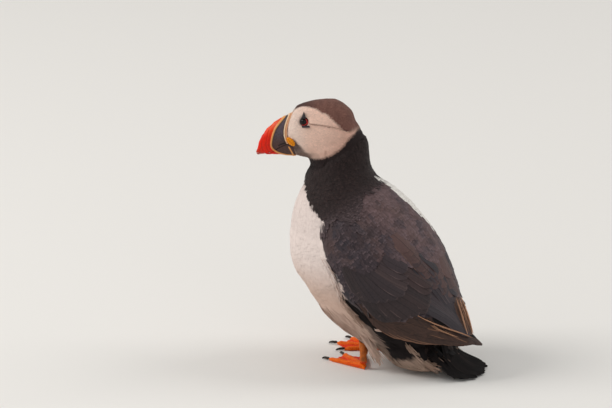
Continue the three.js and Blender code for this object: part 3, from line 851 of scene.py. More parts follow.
def walk(starts, lengths, steps, sense=1):  # the middle line of each feather over the skin
    spots, faces = surface.snap(starts)
    line, ups, ways = [spots], [], []
    first = faces
    for k in range(steps + 1):
        normal = surface.normals[faces]
        way = surface.flow[faces] * sense
        if k:
            way = 0.5 * way + 0.5 * ways[-1]
        way = unit(way - normal * (way * normal).sum(1)[:, None])
        ups.append(normal)
        ways.append(way)
        if k < steps:
            spots, faces = surface.snap(spots + way * (lengths / steps)[:, None])
            line.append(spots)
    return np.stack(line, 1), np.stack(ups, 1), np.stack(ways, 1), first


def meshFromArrays(title, points, corners):  # corners holds three vertex numbers for each face
    mesh = bpy.data.meshes.new(title)
    mesh.vertices.add(len(points))
    mesh.vertices.foreach_set("co", points.astype(np.float32).ravel())
    mesh.loops.add(corners.size)
    mesh.loops.foreach_set("vertex_index", corners.astype(np.int32).ravel())
    mesh.polygons.add(len(corners))
    mesh.polygons.foreach_set("loop_start", np.arange(0, corners.size, 3, dtype=np.int32))
    mesh.polygons.foreach_set("use_smooth", np.ones(len(corners), bool))
    mesh.update(calc_edges=True)
    piece = bpy.data.objects.new(title, mesh)
    bpy.context.scene.collection.objects.link(piece)
    return piece


patchSize = 0.003  # how much of the unwrapped map each feather's own place takes


def betweenSteps(values, low, share):  # values at places between the steps of each line
    return values[:, low] * (1 - share) + values[:, low + 1] * share


# Copies the vanes along their middle lines. roots is where each feather starts on the skin's unwrapped map,
# and lifts is how far its tip stands off the skin.
def layVanes(title, kinds, lines, ups, ways, roots, widths, lifts, grounds, fringes, seed,
             bury=0.2 * mm, twist=4.0, soften=0.0, cants=0.0):
    rng = np.random.default_rng(seed)
    count, steps = len(lines), lines.shape[1] - 1
    kind = rng.integers(0, len(kinds), count)
    roll = np.radians(rng.normal(0, twist, count) + cants)
    parts = []
    start = 0
    for k, vane in enumerate(kinds):
        mine = np.flatnonzero(kind == k)
        if not len(mine):
            continue
        along = np.clip(vane["along"], 0, 1) * steps
        low = np.minimum(along.astype(int), steps - 1)
        share = (along - low)[None, :, None]
        middle = betweenSteps(lines[mine], low, share)
        up = unit(betweenSteps(ups[mine], low, share))
        way = unit(betweenSteps(ways[mine], low, share))
        side = unit(np.cross(way, up))
        tilt = roll[mine][:, None, None]
        side = side * np.cos(tilt) + up * np.sin(tilt)
        across = vane["across"][None, :, None] * widths[mine][:, None, None] / 2
        rise = np.sin(vane["along"] * math.pi / 2)[None, :, None] * lifts[mine][:, None, None]
        camber = vane["lift"][None, :, None] * widths[mine][:, None, None]
        points = middle + side * across + up * (rise + camber - bury * (1 - vane["along"])[None, :, None])
        size = len(vane["along"])
        corners = vane["corners"][None] + (start + np.arange(len(mine)) * size)[:, None, None]
        parts.append((points.reshape(-1, 3), corners.reshape(-1, 3), np.repeat(mine, size),
                      np.tile(vane["along"], len(mine)), np.tile(vane["across"], len(mine)),
                      up.reshape(-1, 3)))
        start += len(mine) * size
    points, corners, owner, along, across, smooth = (np.concatenate(p) for p in zip(*parts))
    piece = meshFromArrays(title, points, corners)
    if soften:  # the coat's shading follows the body's form more than each small vane
        own = normalsOf(piece)
        shown = unit(own * (1 - soften) + smooth * soften)
        piece.data.normals_split_custom_set_from_vertices(shown.tolist())
    for name, colours in (("ground", grounds), ("fringe", fringes)):
        if colours.ndim == 3:  # one colour for each step along the feather
            place = np.clip(along, 0, 1) * steps
            low = np.minimum(place.astype(int), steps - 1)
            share = (place - low)[:, None]
            paintAttribute(piece, name, colours[owner, low] * (1 - share) + colours[owner, low + 1] * share)
        else:
            paintAttribute(piece, name, colours[owner])
    loopPoint = corners.ravel()
    vaneMap = piece.data.uv_layers.new(name="vane")
    flat = np.stack([across * 0.5 + 0.5, along], 1)
    vaneMap.data.foreach_set("uv", flat[loopPoint].astype(np.float32).ravel())
    bakeMap = piece.data.uv_layers.new(name="OFBake")
    patch = np.clip(roots[owner] + (flat - 0.5) * patchSize, 0.0005, 0.9995)
    bakeMap.data.foreach_set("uv", patch[loopPoint].astype(np.float32).ravel())
    return piece


# Materials
class Shader:  # short ways to add and link nodes
    def __init__(self, title, roughness, specular):
        self.material = bpy.data.materials.new(title)
        self.material.use_nodes = True
        self.nodes = self.material.node_tree.nodes
        self.links = self.material.node_tree.links
        self.surface = self.nodes["Principled BSDF"]
        self.surface.inputs["Roughness"].default_value = roughness
        self.surface.inputs["Specular IOR Level"].default_value = specular

    def add(self, kind, **settings):
        node = self.nodes.new("ShaderNode" + kind)
        for key, value in settings.items():
            setattr(node, key, value)
        return node

    def feed(self, socket, value):
        if hasattr(value, "links"):
            self.links.new(value, socket)
        elif value is not None:
            socket.default_value = value

    def maths(self, operation, first, second=None, third=None):
        node = self.add("Math", operation=operation)
        for socket, value in zip(node.inputs, (first, second, third)):
            self.feed(socket, value)
        return node.outputs[0]

    def ramp(self, value, low, high, first=0.0, second=1.0):
        node = self.add("MapRange", interpolation_type="SMOOTHSTEP")
        for socket, given in zip(node.inputs, (value, low, high, first, second)):
            self.feed(socket, given)
        return node.outputs["Result"]

    def blend(self, share, first, second, mode="MIX"):
        node = self.add("Mix", data_type="RGBA", blend_type=mode)
        self.feed(node.inputs[0], share)
        self.feed(node.inputs[6], first)
        self.feed(node.inputs[7], second)
        return node.outputs[2]

    def dimmed(self, colour, level):  # the colour times a level between 0 and 1
        return self.blend(1.0, colour, self.blend(level, (0, 0, 0, 1), (1, 1, 1, 1)), "MULTIPLY")

    def colour(self, name):
        return self.add("Attribute", attribute_name=name).outputs["Color"]

    def noise(self, scale, detail, vector=None):
        node = self.add("TexNoise")
        node.inputs["Scale"].default_value = scale
        node.inputs["Detail"].default_value = detail
        self.feed(node.inputs["Vector"], vector or self.add("TexCoord").outputs["Object"])
        return node.outputs["Fac"]

    def bump(self, height, distance, strength):
        node = self.add("Bump")
        node.inputs["Strength"].default_value = strength
        node.inputs["Distance"].default_value = distance
        self.feed(node.inputs["Height"], height)
        return node.outputs["Normal"]

    def finish(self, colour, roughness, normal):
        self.feed(self.surface.inputs["Base Color"], colour)
        self.feed(self.surface.inputs["Roughness"], roughness)
        self.feed(self.surface.inputs["Normal"], normal)
        return self.material


def featherMaterial(title, barbs, roughness, patchy):  # ground, paler fringe, pale wisps of painted sheen, shaft line and fine barbs
    s = Shader(title, roughness, 0.2)
    flat = s.add("UVMap", uv_map="vane").outputs["UV"]
    split = s.add("SeparateXYZ")
    s.feed(split.inputs[0], flat)
    off = s.maths("ABSOLUTE", s.maths("MULTIPLY_ADD", split.outputs["X"], 2.0, -1.0))
    edge = s.ramp(off, 0.62, 0.98)
    tip = s.ramp(split.outputs["Y"], 0.8, 0.99)
    rim = s.maths("MAXIMUM", s.maths("MULTIPLY", edge, 0.75), tip)
    # painted sheen: pale wisps of the fringe colour across the vane
    sheenWisps = s.ramp(s.noise(650, 6), 0.48, 0.66)
    rim = s.maths("MAXIMUM", rim, s.maths("MULTIPLY", sheenWisps, 3.4 * patchy))
    slant = s.maths("SUBTRACT", split.outputs["Y"], s.maths("MULTIPLY", off, 0.16))
    wave = s.maths("SINE", s.maths("MULTIPLY", slant, barbs * 6.2832))
    colour = s.blend(rim, s.colour("ground"), s.colour("fringe"))
    shaft = s.ramp(off, 0.03, 0.1, 1 - 1.8 * patchy, 1.0)
    mottle = s.ramp(s.noise(420, 3), 0.3, 0.7, 1 - patchy, 1 + patchy)
    fine = s.maths("MULTIPLY_ADD", wave, 0.3 * patchy, 1.0)
    level = s.maths("MULTIPLY", s.maths("MULTIPLY", shaft, mottle), fine)
    colour = s.dimmed(colour, level)
    s.surface.inputs["Sheen Weight"].default_value = 0.05
    s.surface.inputs["Sheen Roughness"].default_value = 0.45
    return s.finish(colour, None, s.bump(wave, 0.00008, 0.5))


coatFinish = featherMaterial("plumage", 14, 0.6, 0.16)
paleFinish = featherMaterial("palePlumage", 10, 0.75, 0.025)


def skinMaterial():
    s = Shader("skinPlumage", 0.7, 0.2)
    ground = s.colour("ground")
    colour = s.dimmed(ground, s.ramp(s.noise(500, 4), 0.3, 0.7, 0.85, 1.1))
    return s.finish(colour, None, s.bump(s.noise(1400, 4), 0.0002, 0.5))


# The long feathers of the wings, the mantle's end and the tail lie in rows. On the wings each is drawn by its
# root and its tip in wing coordinates: how far along the folded wing, and across it from the back (-1) to the
# lower edge (1).
wingTable = {
    "at": ((43, -26, 129), (49, -15, 116), (50, 2, 98), (43, 24, 80), (31, 48, 65), (19, 66, 50),
           (12, 81, 37), (6, 94, 28)),
    "shape": ((4, 9), (6, 21), (7, 29), (7, 29), (6, 26), (5, 19), (2.4, 10), (1, 2.2)),
    "top": ((1, -0.25, 0.15), (1, -0.05, 0.2), (1, 0.2, 0.3), (0.9, 0.5, 0.42), (0.75, 0.6, 0.6),
            (0.6, 0.55, 0.8), (0.5, 0.5, 0.9), (0.4, 0.5, 0.9)),
    "wrap": 96, "tuck": 0.62, "raise": 0.33, "arch": 2.35, "round": 48,
}


def throughStations(table, share):  # a smooth curve through evenly counted stations
    last = len(table) - 1
    place = np.clip(share, 0, 1) * last
    i = np.minimum(place.astype(int), last - 1)
    t = (place - i)[:, None]
    b, c = table[i], table[i + 1]
    a = np.where((i > 0)[:, None], table[np.maximum(i - 1, 0)], 2 * b - c)
    d = np.where((i + 2 <= last)[:, None], table[np.minimum(i + 2, last)], 2 * c - b)
    return curved(a, b, c, d, t)


def onWing(flat, side):  # places in metres, and the way outwards, for wing coordinates
    at = np.array(wingTable["at"], float) + [0, wingTable["raise"], 0]
    if side < 0:
        at[5:] += (at[4] - at[5:]) * wingTable["tuck"]
    along, across = np.clip(flat[..., 0].ravel(), 0, 1), flat[..., 1].ravel()
    middle = throughStations(at, along)
    run = unit(throughStations(at, along + 0.01) - throughStations(at, along - 0.01))
    up = throughStations(np.array(wingTable["top"], float), along)
    up = unit(up - run * (up * run).sum(1)[:, None])
    beside = np.cross(run, up)
    shape = throughStations(np.array(wingTable["shape"], float), along)
    reach = across * shape[:, 1]
    arch = np.maximum(1 - np.abs(across * 0.96) ** wingTable["arch"], 0) ** (1 / wingTable["arch"])
    lift = shape[:, 0] * arch - reach ** 2 / wingTable["wrap"]
    points = middle + up * lift[:, None] + beside * reach[:, None]
    out = unit(up + beside * (reach / wingTable["round"])[:, None])
    mirror = np.array([side, 1, 1])
    shape = flat.shape[:-1] + (3,)
    return (points * mirror * mm).reshape(shape), (out * mirror).reshape(shape)


dropSet = {"start": 0.016, "reach": 0.022}


# Lays lines on the skin from outside and lifts them clear of it. miss is the height where no skin is below.
def dropped(points, outs, clearance, miss=-1.4):
    count, steps = points.shape[:2]
    heights = np.zeros((count, steps))
    normals = outs.copy()
    for i in range(count):
        for k in range(steps):
            start = Vector(points[i, k] + outs[i, k] * dropSet["start"])
            hit = surface.tree.ray_cast(start, Vector(-outs[i, k]), dropSet["reach"])
            if hit[0] is None:
                heights[i, k] = miss * mm
            else:
                heights[i, k] = dropSet["start"] - hit[3]
                normals[i, k] = surface.normals[hit[2]]
    for _ in range(3):
        padded = np.pad(heights, ((0, 0), (1, 1)), mode="edge")
        heights = np.maximum(heights - 0.2 * mm, (padded[:, :-2] + 2 * heights + padded[:, 2:]) / 4)
    points = points + outs * (heights + clearance)[..., None]
    ways = unit(np.gradient(points, axis=1))
    ups = unit(normals + outs)
    ups = unit(ups - ways * (ups * ways).sum(2)[..., None])
    return points, ups, ways


def alongRow(controls, shares):  # places along a bent line of evenly counted stations
    table = np.array(controls, float)
    stations = np.linspace(0, 1, len(table))
    return np.stack([np.interp(shares, stations, column) for column in table.T], 1)


quillSteps, coatSteps = 10, 4  # parts of the middle line of a long feather, and of a small one


def wingRow(row, side):  # the middle lines of one row of the folded wing
    shares = np.linspace(0, 1, row["count"])
    starts, ends = alongRow(row["roots"], shares), alongRow(row["tips"], shares)
    u = np.linspace(0, 1, quillSteps + 1)
    flat = starts[:, None] + (ends - starts)[:, None] * u[None, :, None]
    flat[..., 1] += row.get("bow", 0) * 4 * (u * (1 - u))[None, :]
    points, outs = onWing(flat, side)
    low, high = row["clear"]
    clearance = (low + (high - low) * shares)[:, None] + row["rise"] * u[None, :] ** 1.5
    return dropped(points, outs, clearance * mm)


def worldRow(row):  # the same, drawn through places in millimetres
    shares = np.linspace(0, 1, row["count"])
    controls = [alongRow(line, shares) for line in row["lines"]]
    u = np.linspace(0, 1, quillSteps + 1) * (len(controls) - 1)
    i = np.minimum(u.astype(int), len(controls) - 2)
    table = np.stack(controls, 1)
    b, c = table[:, i], table[:, i + 1]
    a = np.where((i > 0)[None, :, None], table[:, np.maximum(i - 1, 0)], 2 * b - c)
    last = len(controls) - 1
    d = np.where((i + 2 <= last)[None, :, None], table[:, np.minimum(i + 2, last)], 2 * c - b)
    points = curved(a, b, c, d, (u - i)[None, :, None])
    outs = np.broadcast_to(unit(np.array(row["out"], float)), points.shape).copy()
    low, high = row["clear"]
    rise = row["rise"] * np.linspace(0, 1, quillSteps + 1) ** 1.5
    clearance = (low + (high - low) * shares)[:, None] + rise
    points = points * mm + outs * (clearance * mm)[..., None]
    ways = unit(np.gradient(points, axis=1))
    return points, unit(outs - ways * (outs * ways).sum(2)[..., None]), ways


quillRows = {
    "primaries": {"count": 8, "roots": ((0.44, 0.6), (0.42, 0.75), (0.4, 0.8)),
                  "tips": ((1.0, 0.05), (0.955, 0.55), (0.91, 0.8), (0.865, 0.9), (0.81, 0.96), (0.75, 1.0),
                           (0.68, 1.0), (0.62, 1.0)),
                  "bow": 0.12, "width": (10, 12.5), "clear": (0.2, 0.9), "rise": 0.4, "cant": -4,
                  "finish": "primaries",
                  "ground": tone(62, 44, 39), "second": tone(50, 37, 34), "fringe": tone(128, 92, 72)},
    "secondaries": {"count": 9, "roots": ((0.5, 0.1), (0.5, -0.7), (0.5, -1.0)),
                    "tips": ((0.89, 0.02), (0.87, -0.15), (0.84, -0.4), (0.8, -0.7), (0.76, -0.95),
                             (0.72, -1.1)),
                    "width": (11, 12), "clear": (1.0, 1.2), "rise": 0.7, "cant": -5,
                    "ground": tone(42, 40, 46), "second": tone(64, 54, 58), "fringe": tone(88, 76, 78)},
    "greaterCoverts": {"count": 14,
                       "roots": ((0.36, 0.5), (0.38, 0.5), (0.44, 0.25), (0.47, -0.2), (0.46, -0.6)),
                       "tips": ((0.47, 0.85), (0.5, 0.9), (0.54, 0.74), (0.62, 0.22), (0.615, -0.2),
                                (0.59, -0.6)),
                       "width": (10, 13), "clear": (1.3, 1.4), "rise": 1.0, "cant": -4, "grade": 0.8,
                       "ground": tone(46, 37, 40), "second": tone(66, 50, 50), "fringe": tone(92, 74, 73)},
    "medianCoverts": {"count": 12,
                      "roots": ((0.27, 0.3), (0.3, 0.25), (0.34, 0.1), (0.37, -0.2), (0.36, -0.6)),
                      "tips": ((0.37, 0.6), (0.41, 0.65), (0.45, 0.5), (0.51, 0.1), (0.51, -0.3),
                               (0.48, -0.6)),
                      "width": (9, 12), "clear": (1.4, 1.5), "rise": 1.0, "cant": -4, "grade": 0.7,
                      "ground": tone(54, 45, 50), "second": tone(76, 60, 60), "fringe": tone(98, 80, 80)},
}
drawnRows = {
    "tertials": {"count": 4, "lines": (((4, 68, 63), (-3, 69, 62)), ((10, 77, 48), (4.5, 79.5, 48)),
                                      ((13.6, 83, 37), (10, 86, 36))),
                 "out": (0.3, 0.75, 0.6), "width": (5, 5), "clear": (0.8, 0.4), "rise": 0.3, "cant": 6,
                 "ground": tone(74, 54, 48), "second": tone(60, 45, 41), "fringe": tone(170, 128, 100)},
}
tailRow = {"count": 10, "root": 36, "start": 4, "reach": 57.5, "width": (13, 16), "cant": 0,
           "clear": (0.15, 0.75), "vane": "broad", "finish": "tail",
           "slope": ((32, 50, 66, 80, 92, 98), (39, 23, 10.8, 4.1, 1.7, 1.6)),
           "turns": (-27, -23, -18, -11, -6, -1, 5, 12, 20, 28),
           "trim": (1.6, 0.4, 0, 2.4, 1.4, 0.2, 1.0, -0.6, 0.2, 1.2),
           "ground": tone(12, 10, 11), "second": tone(22, 17, 17), "fringe": tone(44, 36, 34)}


def quillMaterial(title, roughness, specular, tip):  # long feathers: a fine fringe, a shaft and close barbs
    s = Shader(title, roughness, specular)
    split = s.add("SeparateXYZ")
    s.feed(split.inputs[0], s.add("UVMap", uv_map="vane").outputs["UV"])
    signed = s.maths("MULTIPLY_ADD", split.outputs["X"], 2.0, -1.0)
    off = s.maths("ABSOLUTE", signed)
    edge = s.ramp(off, 0.8, 0.92)
    rim = s.maths("MAXIMUM", edge, s.maths("MULTIPLY", s.ramp(split.outputs["Y"], 0.95, 0.995), tip))
    fromShaft = s.maths("ABSOLUTE", s.maths("ADD", signed, 0.18))
    shaft = s.ramp(fromShaft, 0.025, 0.06)
    slant = s.maths("SUBTRACT", split.outputs["Y"], s.maths("MULTIPLY", fromShaft, 0.1))
    wave = s.maths("SINE", s.maths("MULTIPLY", slant, 420))
    barbs = s.noise(1.0, 2, s.maths("MULTIPLY", slant, 60))
    barbs = s.ramp(barbs, 0.35, 0.7)
    colour = s.blend(barbs, s.colour("ground"), s.blend(0.22, s.colour("ground"), s.colour("fringe")))
    colour = s.blend(rim, colour, s.colour("fringe"))
    level = s.maths("MULTIPLY", s.ramp(shaft, 0, 1, 0.55, 1.0), s.maths("MULTIPLY_ADD", wave, 0.05, 1.0))
    colour = s.dimmed(colour, level)
    s.surface.inputs["Sheen Weight"].default_value = 0.03
    relief = s.maths("MULTIPLY_ADD", shaft, -1.0, s.maths("MULTIPLY", wave, 0.3))
    return s.finish(colour, None, s.bump(relief, 0.0001, 0.6))


quillFinishes = {"plain": quillMaterial("longFeathers", 0.5, 0.25, 0.45),
                 "primaries": quillMaterial("primaryFeathers", 0.5, 0.2, 0.0),
                 "tail": quillMaterial("tailFeathers", 0.75, 0.06, 0.5)}


def layQuills(title, row, lines, ups, ways, seed, flip=1):
    rng = np.random.default_rng(seed)
    count = len(lines)
    _, faces = surface.snap(lines[:, 0])
    shares = np.linspace(0, 1, count)
    grounds = mixed(row["ground"], row["second"], rng.uniform(0, 1, count))
    grounds = grounds * np.exp(rng.normal(0, 0.06, count))[:, None]
    fringes = mixed(row["fringe"], row["ground"], rng.uniform(0, 0.3, count))
    widths = np.interp(shares, (0, 1), row["width"]) * mm
    if "grade" in row:  # painted shade: darker towards the wing's lower edge
        grounds = mixed(grounds, shade["wingLow"] * 0.8, row["grade"] * (1 - shares) ** 0.7)
    piece = layVanes(title, vanes[row.get("vane", "quill")], lines, ups, ways, surface.uv[faces], widths,
                     np.zeros(count), grounds, fringes, seed,
                     bury=0, twist=0.8, soften=0.2, cants=row["cant"] * flip)
    if flip < 0:  # the fringe is on the outer side of each feather
        layer = piece.data.uv_layers["vane"].data
        flat = readAll(layer, "uv", 2)
        flat[::2] = 1 - flat[::2]
        layer.foreach_set("uv", flat)
    piece.data.materials.append(quillFinishes[row.get("finish", "plain")])
    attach(piece, "root")
    return piece


def tailLines():
    angles = np.radians(tailRow["turns"])
    order = np.argsort(-np.abs(angles), kind="stable")  # the middle pair lies on top
    angles, trim = angles[order], np.array(tailRow["trim"])[order]
    u = np.linspace(0, 1, quillSteps + 1)
    ends = tailRow["reach"] - trim - 7 * np.abs(np.degrees(angles) / 33) ** 2.4  # the fan's rounded edge
    reach = tailRow["start"] + u[None, :] * (ends - tailRow["start"])[:, None]
    x, y = reach * np.sin(angles)[:, None], tailRow["root"] + reach * np.cos(angles)[:, None]
    z = np.interp(y, *tailRow["slope"])
    points = np.stack([x, y, z], -1) * mm
    outs = np.broadcast_to(unit(np.array([0, 0.35, 1.0])), points.shape).copy()
    clearance = np.linspace(*tailRow["clear"], tailRow["count"])[:, None] * np.ones(quillSteps + 1)
    return dropped(points, outs, clearance * mm, 0.0)


scapularSet = {"count": 13,
               "tips": ((-23.5, 47.5, 93), (-21.3, 52.5, 87.6), (-19.6, 58.3, 76.5), (-13.1, 64.2, 68.7),
                        (-3.8, 68.8, 63.3), (3.8, 68.8, 63.3), (13.1, 64.2, 68.7), (19.6, 58.3, 76.5),
                        (21.3, 52.5, 87.6), (23.5, 47.5, 93)),
               "length": 22, "width": (13, 13), "clear": 2.0, "rows": 3, "step": 8, "cant": 0,
               "ground": tone(84, 62, 60), "second": tone(66, 53, 56), "fringe": tone(108, 84, 77)}


def scapularLines(row, seed):  # drawn from the tips back towards the roots
    rng = np.random.default_rng(seed)
    count = scapularSet["count"] + row % 2
    shares = np.linspace(0, 1, count) + rng.normal(0, 0.1 / count, count)
    tips = alongRow(scapularSet["tips"], np.clip(shares, 0, 1)) * mm
    length = scapularSet["length"] + rng.normal(0, 1, count)
    back, *_ = walk(tips, np.full(count, (scapularSet["step"] * row + 0.1) * mm), 2, -1)
    lines, ups, ways, _ = walk(back[:, -1], length * mm, quillSteps, -1)
    lines, ups, ways = lines[:, ::-1], ups[:, ::-1], -ways[:, ::-1]
    clear = scapularSet["clear"] * mm * np.linspace(0.25, 1, quillSteps + 1)
    return lines + ups * clear[None, :, None], ups, ways


# Loose soft feathers, drawn along a path: how long each is, as a share of the path, and how far they stray
strandRows = {
    "wingEdge": {"path": ((51.5, -26, 97), (54.5, -17, 88), (54.5, -11.5, 78), (49, -10, 65),
                          (46.5, -5.5, 57), (43.5, 1, 49), (39.5, 8, 41)),
                 "count": 420, "share": 0.13, "width": 1.0, "spread": 1.2, "out": (1, -0.2, 0.1),
                 "tones": ("breast", "belly", "fluff")},
    "thigh": {"path": ((31.5, 0, 34), (30.5, 6, 24), (29, 11.5, 14.5), (27.5, 15.5, 7)),
              "count": 110, "share": 0.4, "width": 0.9, "spread": 1.5, "out": (1, 0.1, 0.1),
              "tones": ("belly", "belly", "vent")},
    "undertail": {"path": ((27.5, 35, 30), (27, 40, 24), (27.2, 47, 17.5), (26.5, 56, 11.5), (23.5, 67, 6.5)),
                  "count": 110, "share": 0.3, "width": 0.9, "spread": 0.9, "out": (1, 0.1, 0.3),
                  "tones": ("fluff", "vent", "fluff")},
    "tailCovert": {"path": ((9, 40, 38), (14, 47, 29), (19, 54, 20), (22, 61, 14.5)),
                   "count": 90, "share": 0.42, "width": 6, "spread": 2.6, "out": (0.5, 0.2, 0.9),
                   "tones": ("rump", "flank", "rump"), "vane": "body"},
    "tailMiddle": {"path": ((0, 44, 36), (2, 50, 29), (4, 57, 21), (6, 64, 15)),
                   "count": 90, "share": 0.42, "width": 6, "spread": 2.6, "out": (0.2, 0.3, 0.9),
                   "tones": ("rump", "flank", "rump"), "vane": "body"},
    "buffEdge": {"path": ((40.6, 49, 58.8), (36.4, 57.4, 53.4), (31.6, 65.8, 48.6), (24.6, 74.3, 43.6),
                          (17, 82.4, 38.8), (11, 88.6, 34.6)),
                 "count": 20, "share": 0.6, "width": 0.5, "spread": 0.2, "out": (0.7, 0.6, 0.35),
                 "tones": ("buff", "buff", "buffDark"), "leftOnly": True},
    "tertialOuter": {"path": ((3.6, 70.4, 64), (7, 75, 57), (10, 79.2, 49.5), (14, 85.2, 38)),
                     "count": 12, "share": 0.75, "width": 0.6, "spread": 0.2, "out": (0.3, 0.75, 0.6),
                     "tones": ("buffDark", "buff", "buff"), "leftOnly": True},
    "tertialInner": {"path": ((-3, 71.4, 63.5), (1, 76.8, 57), (4.5, 81.8, 49.5), (10.3, 88.2, 37.5)),
                     "count": 12, "share": 0.75, "width": 0.6, "spread": 0.2, "out": (0.3, 0.75, 0.6),
                     "tones": ("buff", "buff", "buff"), "leftOnly": True},
    "tertialStreak": {"path": ((0.3, 71, 64), (4, 76, 57), (7.3, 80.6, 49.5), (12.2, 86.8, 37.8)),
                      "count": 26, "share": 0.4, "width": 0.5, "spread": 1.0, "out": (0.3, 0.75, 0.6),
                      "tones": ("buffDark", "buff", "buffDark"), "leftOnly": True},
    "buffFork": {"path": ((36, 59, 52.2), (31.5, 66, 45.5), (25, 73.5, 40), (19, 80, 36.5), (12, 87, 33.5)),
                 "count": 9, "share": 0.5, "width": 0.5, "spread": 0.8, "out": (0.7, 0.6, 0.2),
                 "tones": ("buffDark", "buff", "buffDark"), "leftOnly": True},
    "flankFleck": {"path": ((40.8, 13, 41.5), (40.2, 16, 39.8), (37.4, 24, 39.2), (36.8, 27, 38.2)),
                   "count": 16, "share": 0.22, "width": 1.3, "spread": 0.4, "out": (1, 0.1, 0.1),
                   "tones": ("breast", "belly", "breast")},
}


strandSeed, rowSeed, scapularSeed, tailSeed = 300, 200, 230, 240


def strandLines(row, side, seed):  # the middle lines of the loose feathers along one path
    rng = np.random.default_rng(seed)
    count = row["count"]
    u = np.linspace(0, 1, coatSteps + 1)
    shares = rng.uniform(0, 1, count) * (1 - row["share"])
    steps = shares[:, None] + row["share"] * u * rng.uniform(0.6, 1.2, count)[:, None]
    middle = throughStations(np.array(row["path"], float), np.clip(steps, 0, 1).ravel())
    middle = middle.reshape(count, len(u), 3)
    outs = np.broadcast_to(unit(np.array(row["out"], float)), middle.shape)
    stray = rng.normal(0, row["spread"], (count, 1, 3))
    stray = stray + rng.normal(0, row["spread"] * 0.7, (count, 1, 3)) * u[None, :, None] ** 1.5
    lines = (middle + stray) * [side, 1, 1] * mm
    ways = unit(np.gradient(lines, axis=1))
    ups = outs * [side, 1, 1]
    return shares, lines, unit(ups - ways * (ups * ways).sum(2)[..., None]), ways


def layStrands():
    seed = strandSeed
    for title, row in strandRows.items():
        for side, name in ((1, "Left"), (-1, "Right")):
            seed += 1
            if side < 0 and row.get("leftOnly"):
                continue
            shares, lines, ups, ways = strandLines(row, side, seed)
            rng = np.random.default_rng(seed + 40)
            colours = np.array([shade[t] for t in row["tones"]])
            place = np.clip(shares / (1 - row["share"]) + rng.normal(0, 0.1, row["count"]), 0, 1) * 2
            low = np.minimum(place.astype(int), 1)
            grounds = mixed(colours[low], colours[low + 1], place - low)
            grounds = mixed(grounds, shade["dusk"], 0.35 * rng.uniform(0, 1, row["count"]) ** 4)
            _, faces = surface.snap(lines[:, 0])
            widths = np.full(row["count"], row["width"] * mm)
            piece = layVanes(title + name, vanes[row.get("vane", "hair")], lines, ups, ways,
                             surface.uv[faces], widths, np.zeros(row["count"]), grounds, grounds, seed,
                             soften=0.7)
            piece.data.materials.append(coatFinish if "vane" in row else paleFinish)
            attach(piece, "root")


def layLongFeathers():
    seed = rowSeed
    total = 0
    for row in range(scapularSet["rows"]):
        lines = scapularLines(row, scapularSeed + row)
        layQuills(f"scapulars{row}", scapularSet, *lines, scapularSeed + 5 + row)
    layStrands()
    for side, name in ((1, "Left"), (-1, "Right")):
        for title, row in quillRows.items():
            seed += 1
            piece = layQuills(title + name, row, *wingRow(row, side), seed, -side)
            total += len(piece.data.polygons)
    for title, row in drawnRows.items():  # only on the left: the tucked right wing hides them
        seed += 1
        piece = layQuills(title + "Left", row, *worldRow(row), seed, -1)
        total += len(piece.data.polygons)
    layQuills("tailFeathers", tailRow, *tailLines(), tailSeed)
    print("long feathers", total, "faces")


# The small feathers, tract by tract: sizes in millimetres
coatSet = {
    "face": {"spacing": 0.8, "length": 3.4, "width": 1.5, "lift": 0.5, "vane": "face", "soften": 0.9},
    "chin": {"spacing": 0.8, "length": 3.6, "width": 1.1, "lift": 1.0, "vane": "small", "soften": 0.85},
    "neck": {"spacing": 1.35, "length": 6.5, "width": 2.8, "lift": 1.1, "vane": "small", "soften": 0.55},
    "bib": {"spacing": 1.2, "length": 7.5, "width": 2.2, "lift": 0.35, "vane": "small", "soften": 0.96},
    "breast": {"spacing": 1.6, "length": 11, "width": 4.2, "lift": 0.6, "vane": "body", "soften": 0.96,
               "parts": 2},
    "fluff": {"spacing": 1.8, "length": 12, "width": 1.0, "lift": 1.3, "vane": "hair", "soften": 0.9},
    "flank": {"spacing": 1.7, "length": 14, "width": 1.4, "lift": 1.8, "vane": "hair", "soften": 0.6},
    "vent": {"spacing": 1.7, "length": 13, "width": 2.2, "lift": 2.2, "vane": "hair", "soften": 0.7},
    "shoulder": {"spacing": 1.2, "length": 12, "width": 3.0, "lift": 0.9, "vane": "body", "soften": 0.9},
    "mantle": {"spacing": 2.2, "length": 13, "width": 7.5, "lift": 0.9, "vane": "body", "soften": 0.5},
    "wing": {"spacing": 2.0, "length": 10.5, "width": 6.2, "lift": 0.8, "vane": "body", "soften": 0.5},
}
darkTracts = ("neck", "mantle", "wing")
# where the eyes and the rosettes are in the head's frame, and how far the coat stays off them
eyePlace = {"side": 10.1, "along": -22.8, "up": 9, "radius": 4, "bare": 5.0}
rosettePlace = {"side": 8.8, "along": -34, "up": -7.2, "lean": -46, "turn": 14, "bare": 4.4}
# where the small feathers end: along the wing by the share across it, and on the mantle by distance aside
covertEnd = ((-1, -0.6, -0.1, 0.21, 0.38, 0.71, 0.98, 1.05), (0.52, 0.57, 0.6, 0.61, 0.585, 0.52, 0.46, 0.44))
mantleEnd = ((0, 3.8, 13.1, 19.6, 21.3, 24, 30), (62.5, 63.3, 68.7, 76.5, 87.6, 94, 100))


def wingFinder():  # wing coordinates of places near either wing
    along, across = np.meshgrid(np.linspace(0, 1, 141), np.linspace(-1, 1, 81), indexing="ij")
    flat = np.stack([along.ravel(), across.ravel()], 1)
    trees = {}
    for side in (1, -1):
        points, _ = onWing(flat, side)
        trees[side] = KDTree(len(points))
        for i, point in enumerate(points.tolist()):
            trees[side].insert(point, i)
        trees[side].balance()
    return lambda points: flat[[trees[1 if p[0] > 0 else -1].find(p)[1] for p in points.tolist()]]


wingAt = wingFinder()


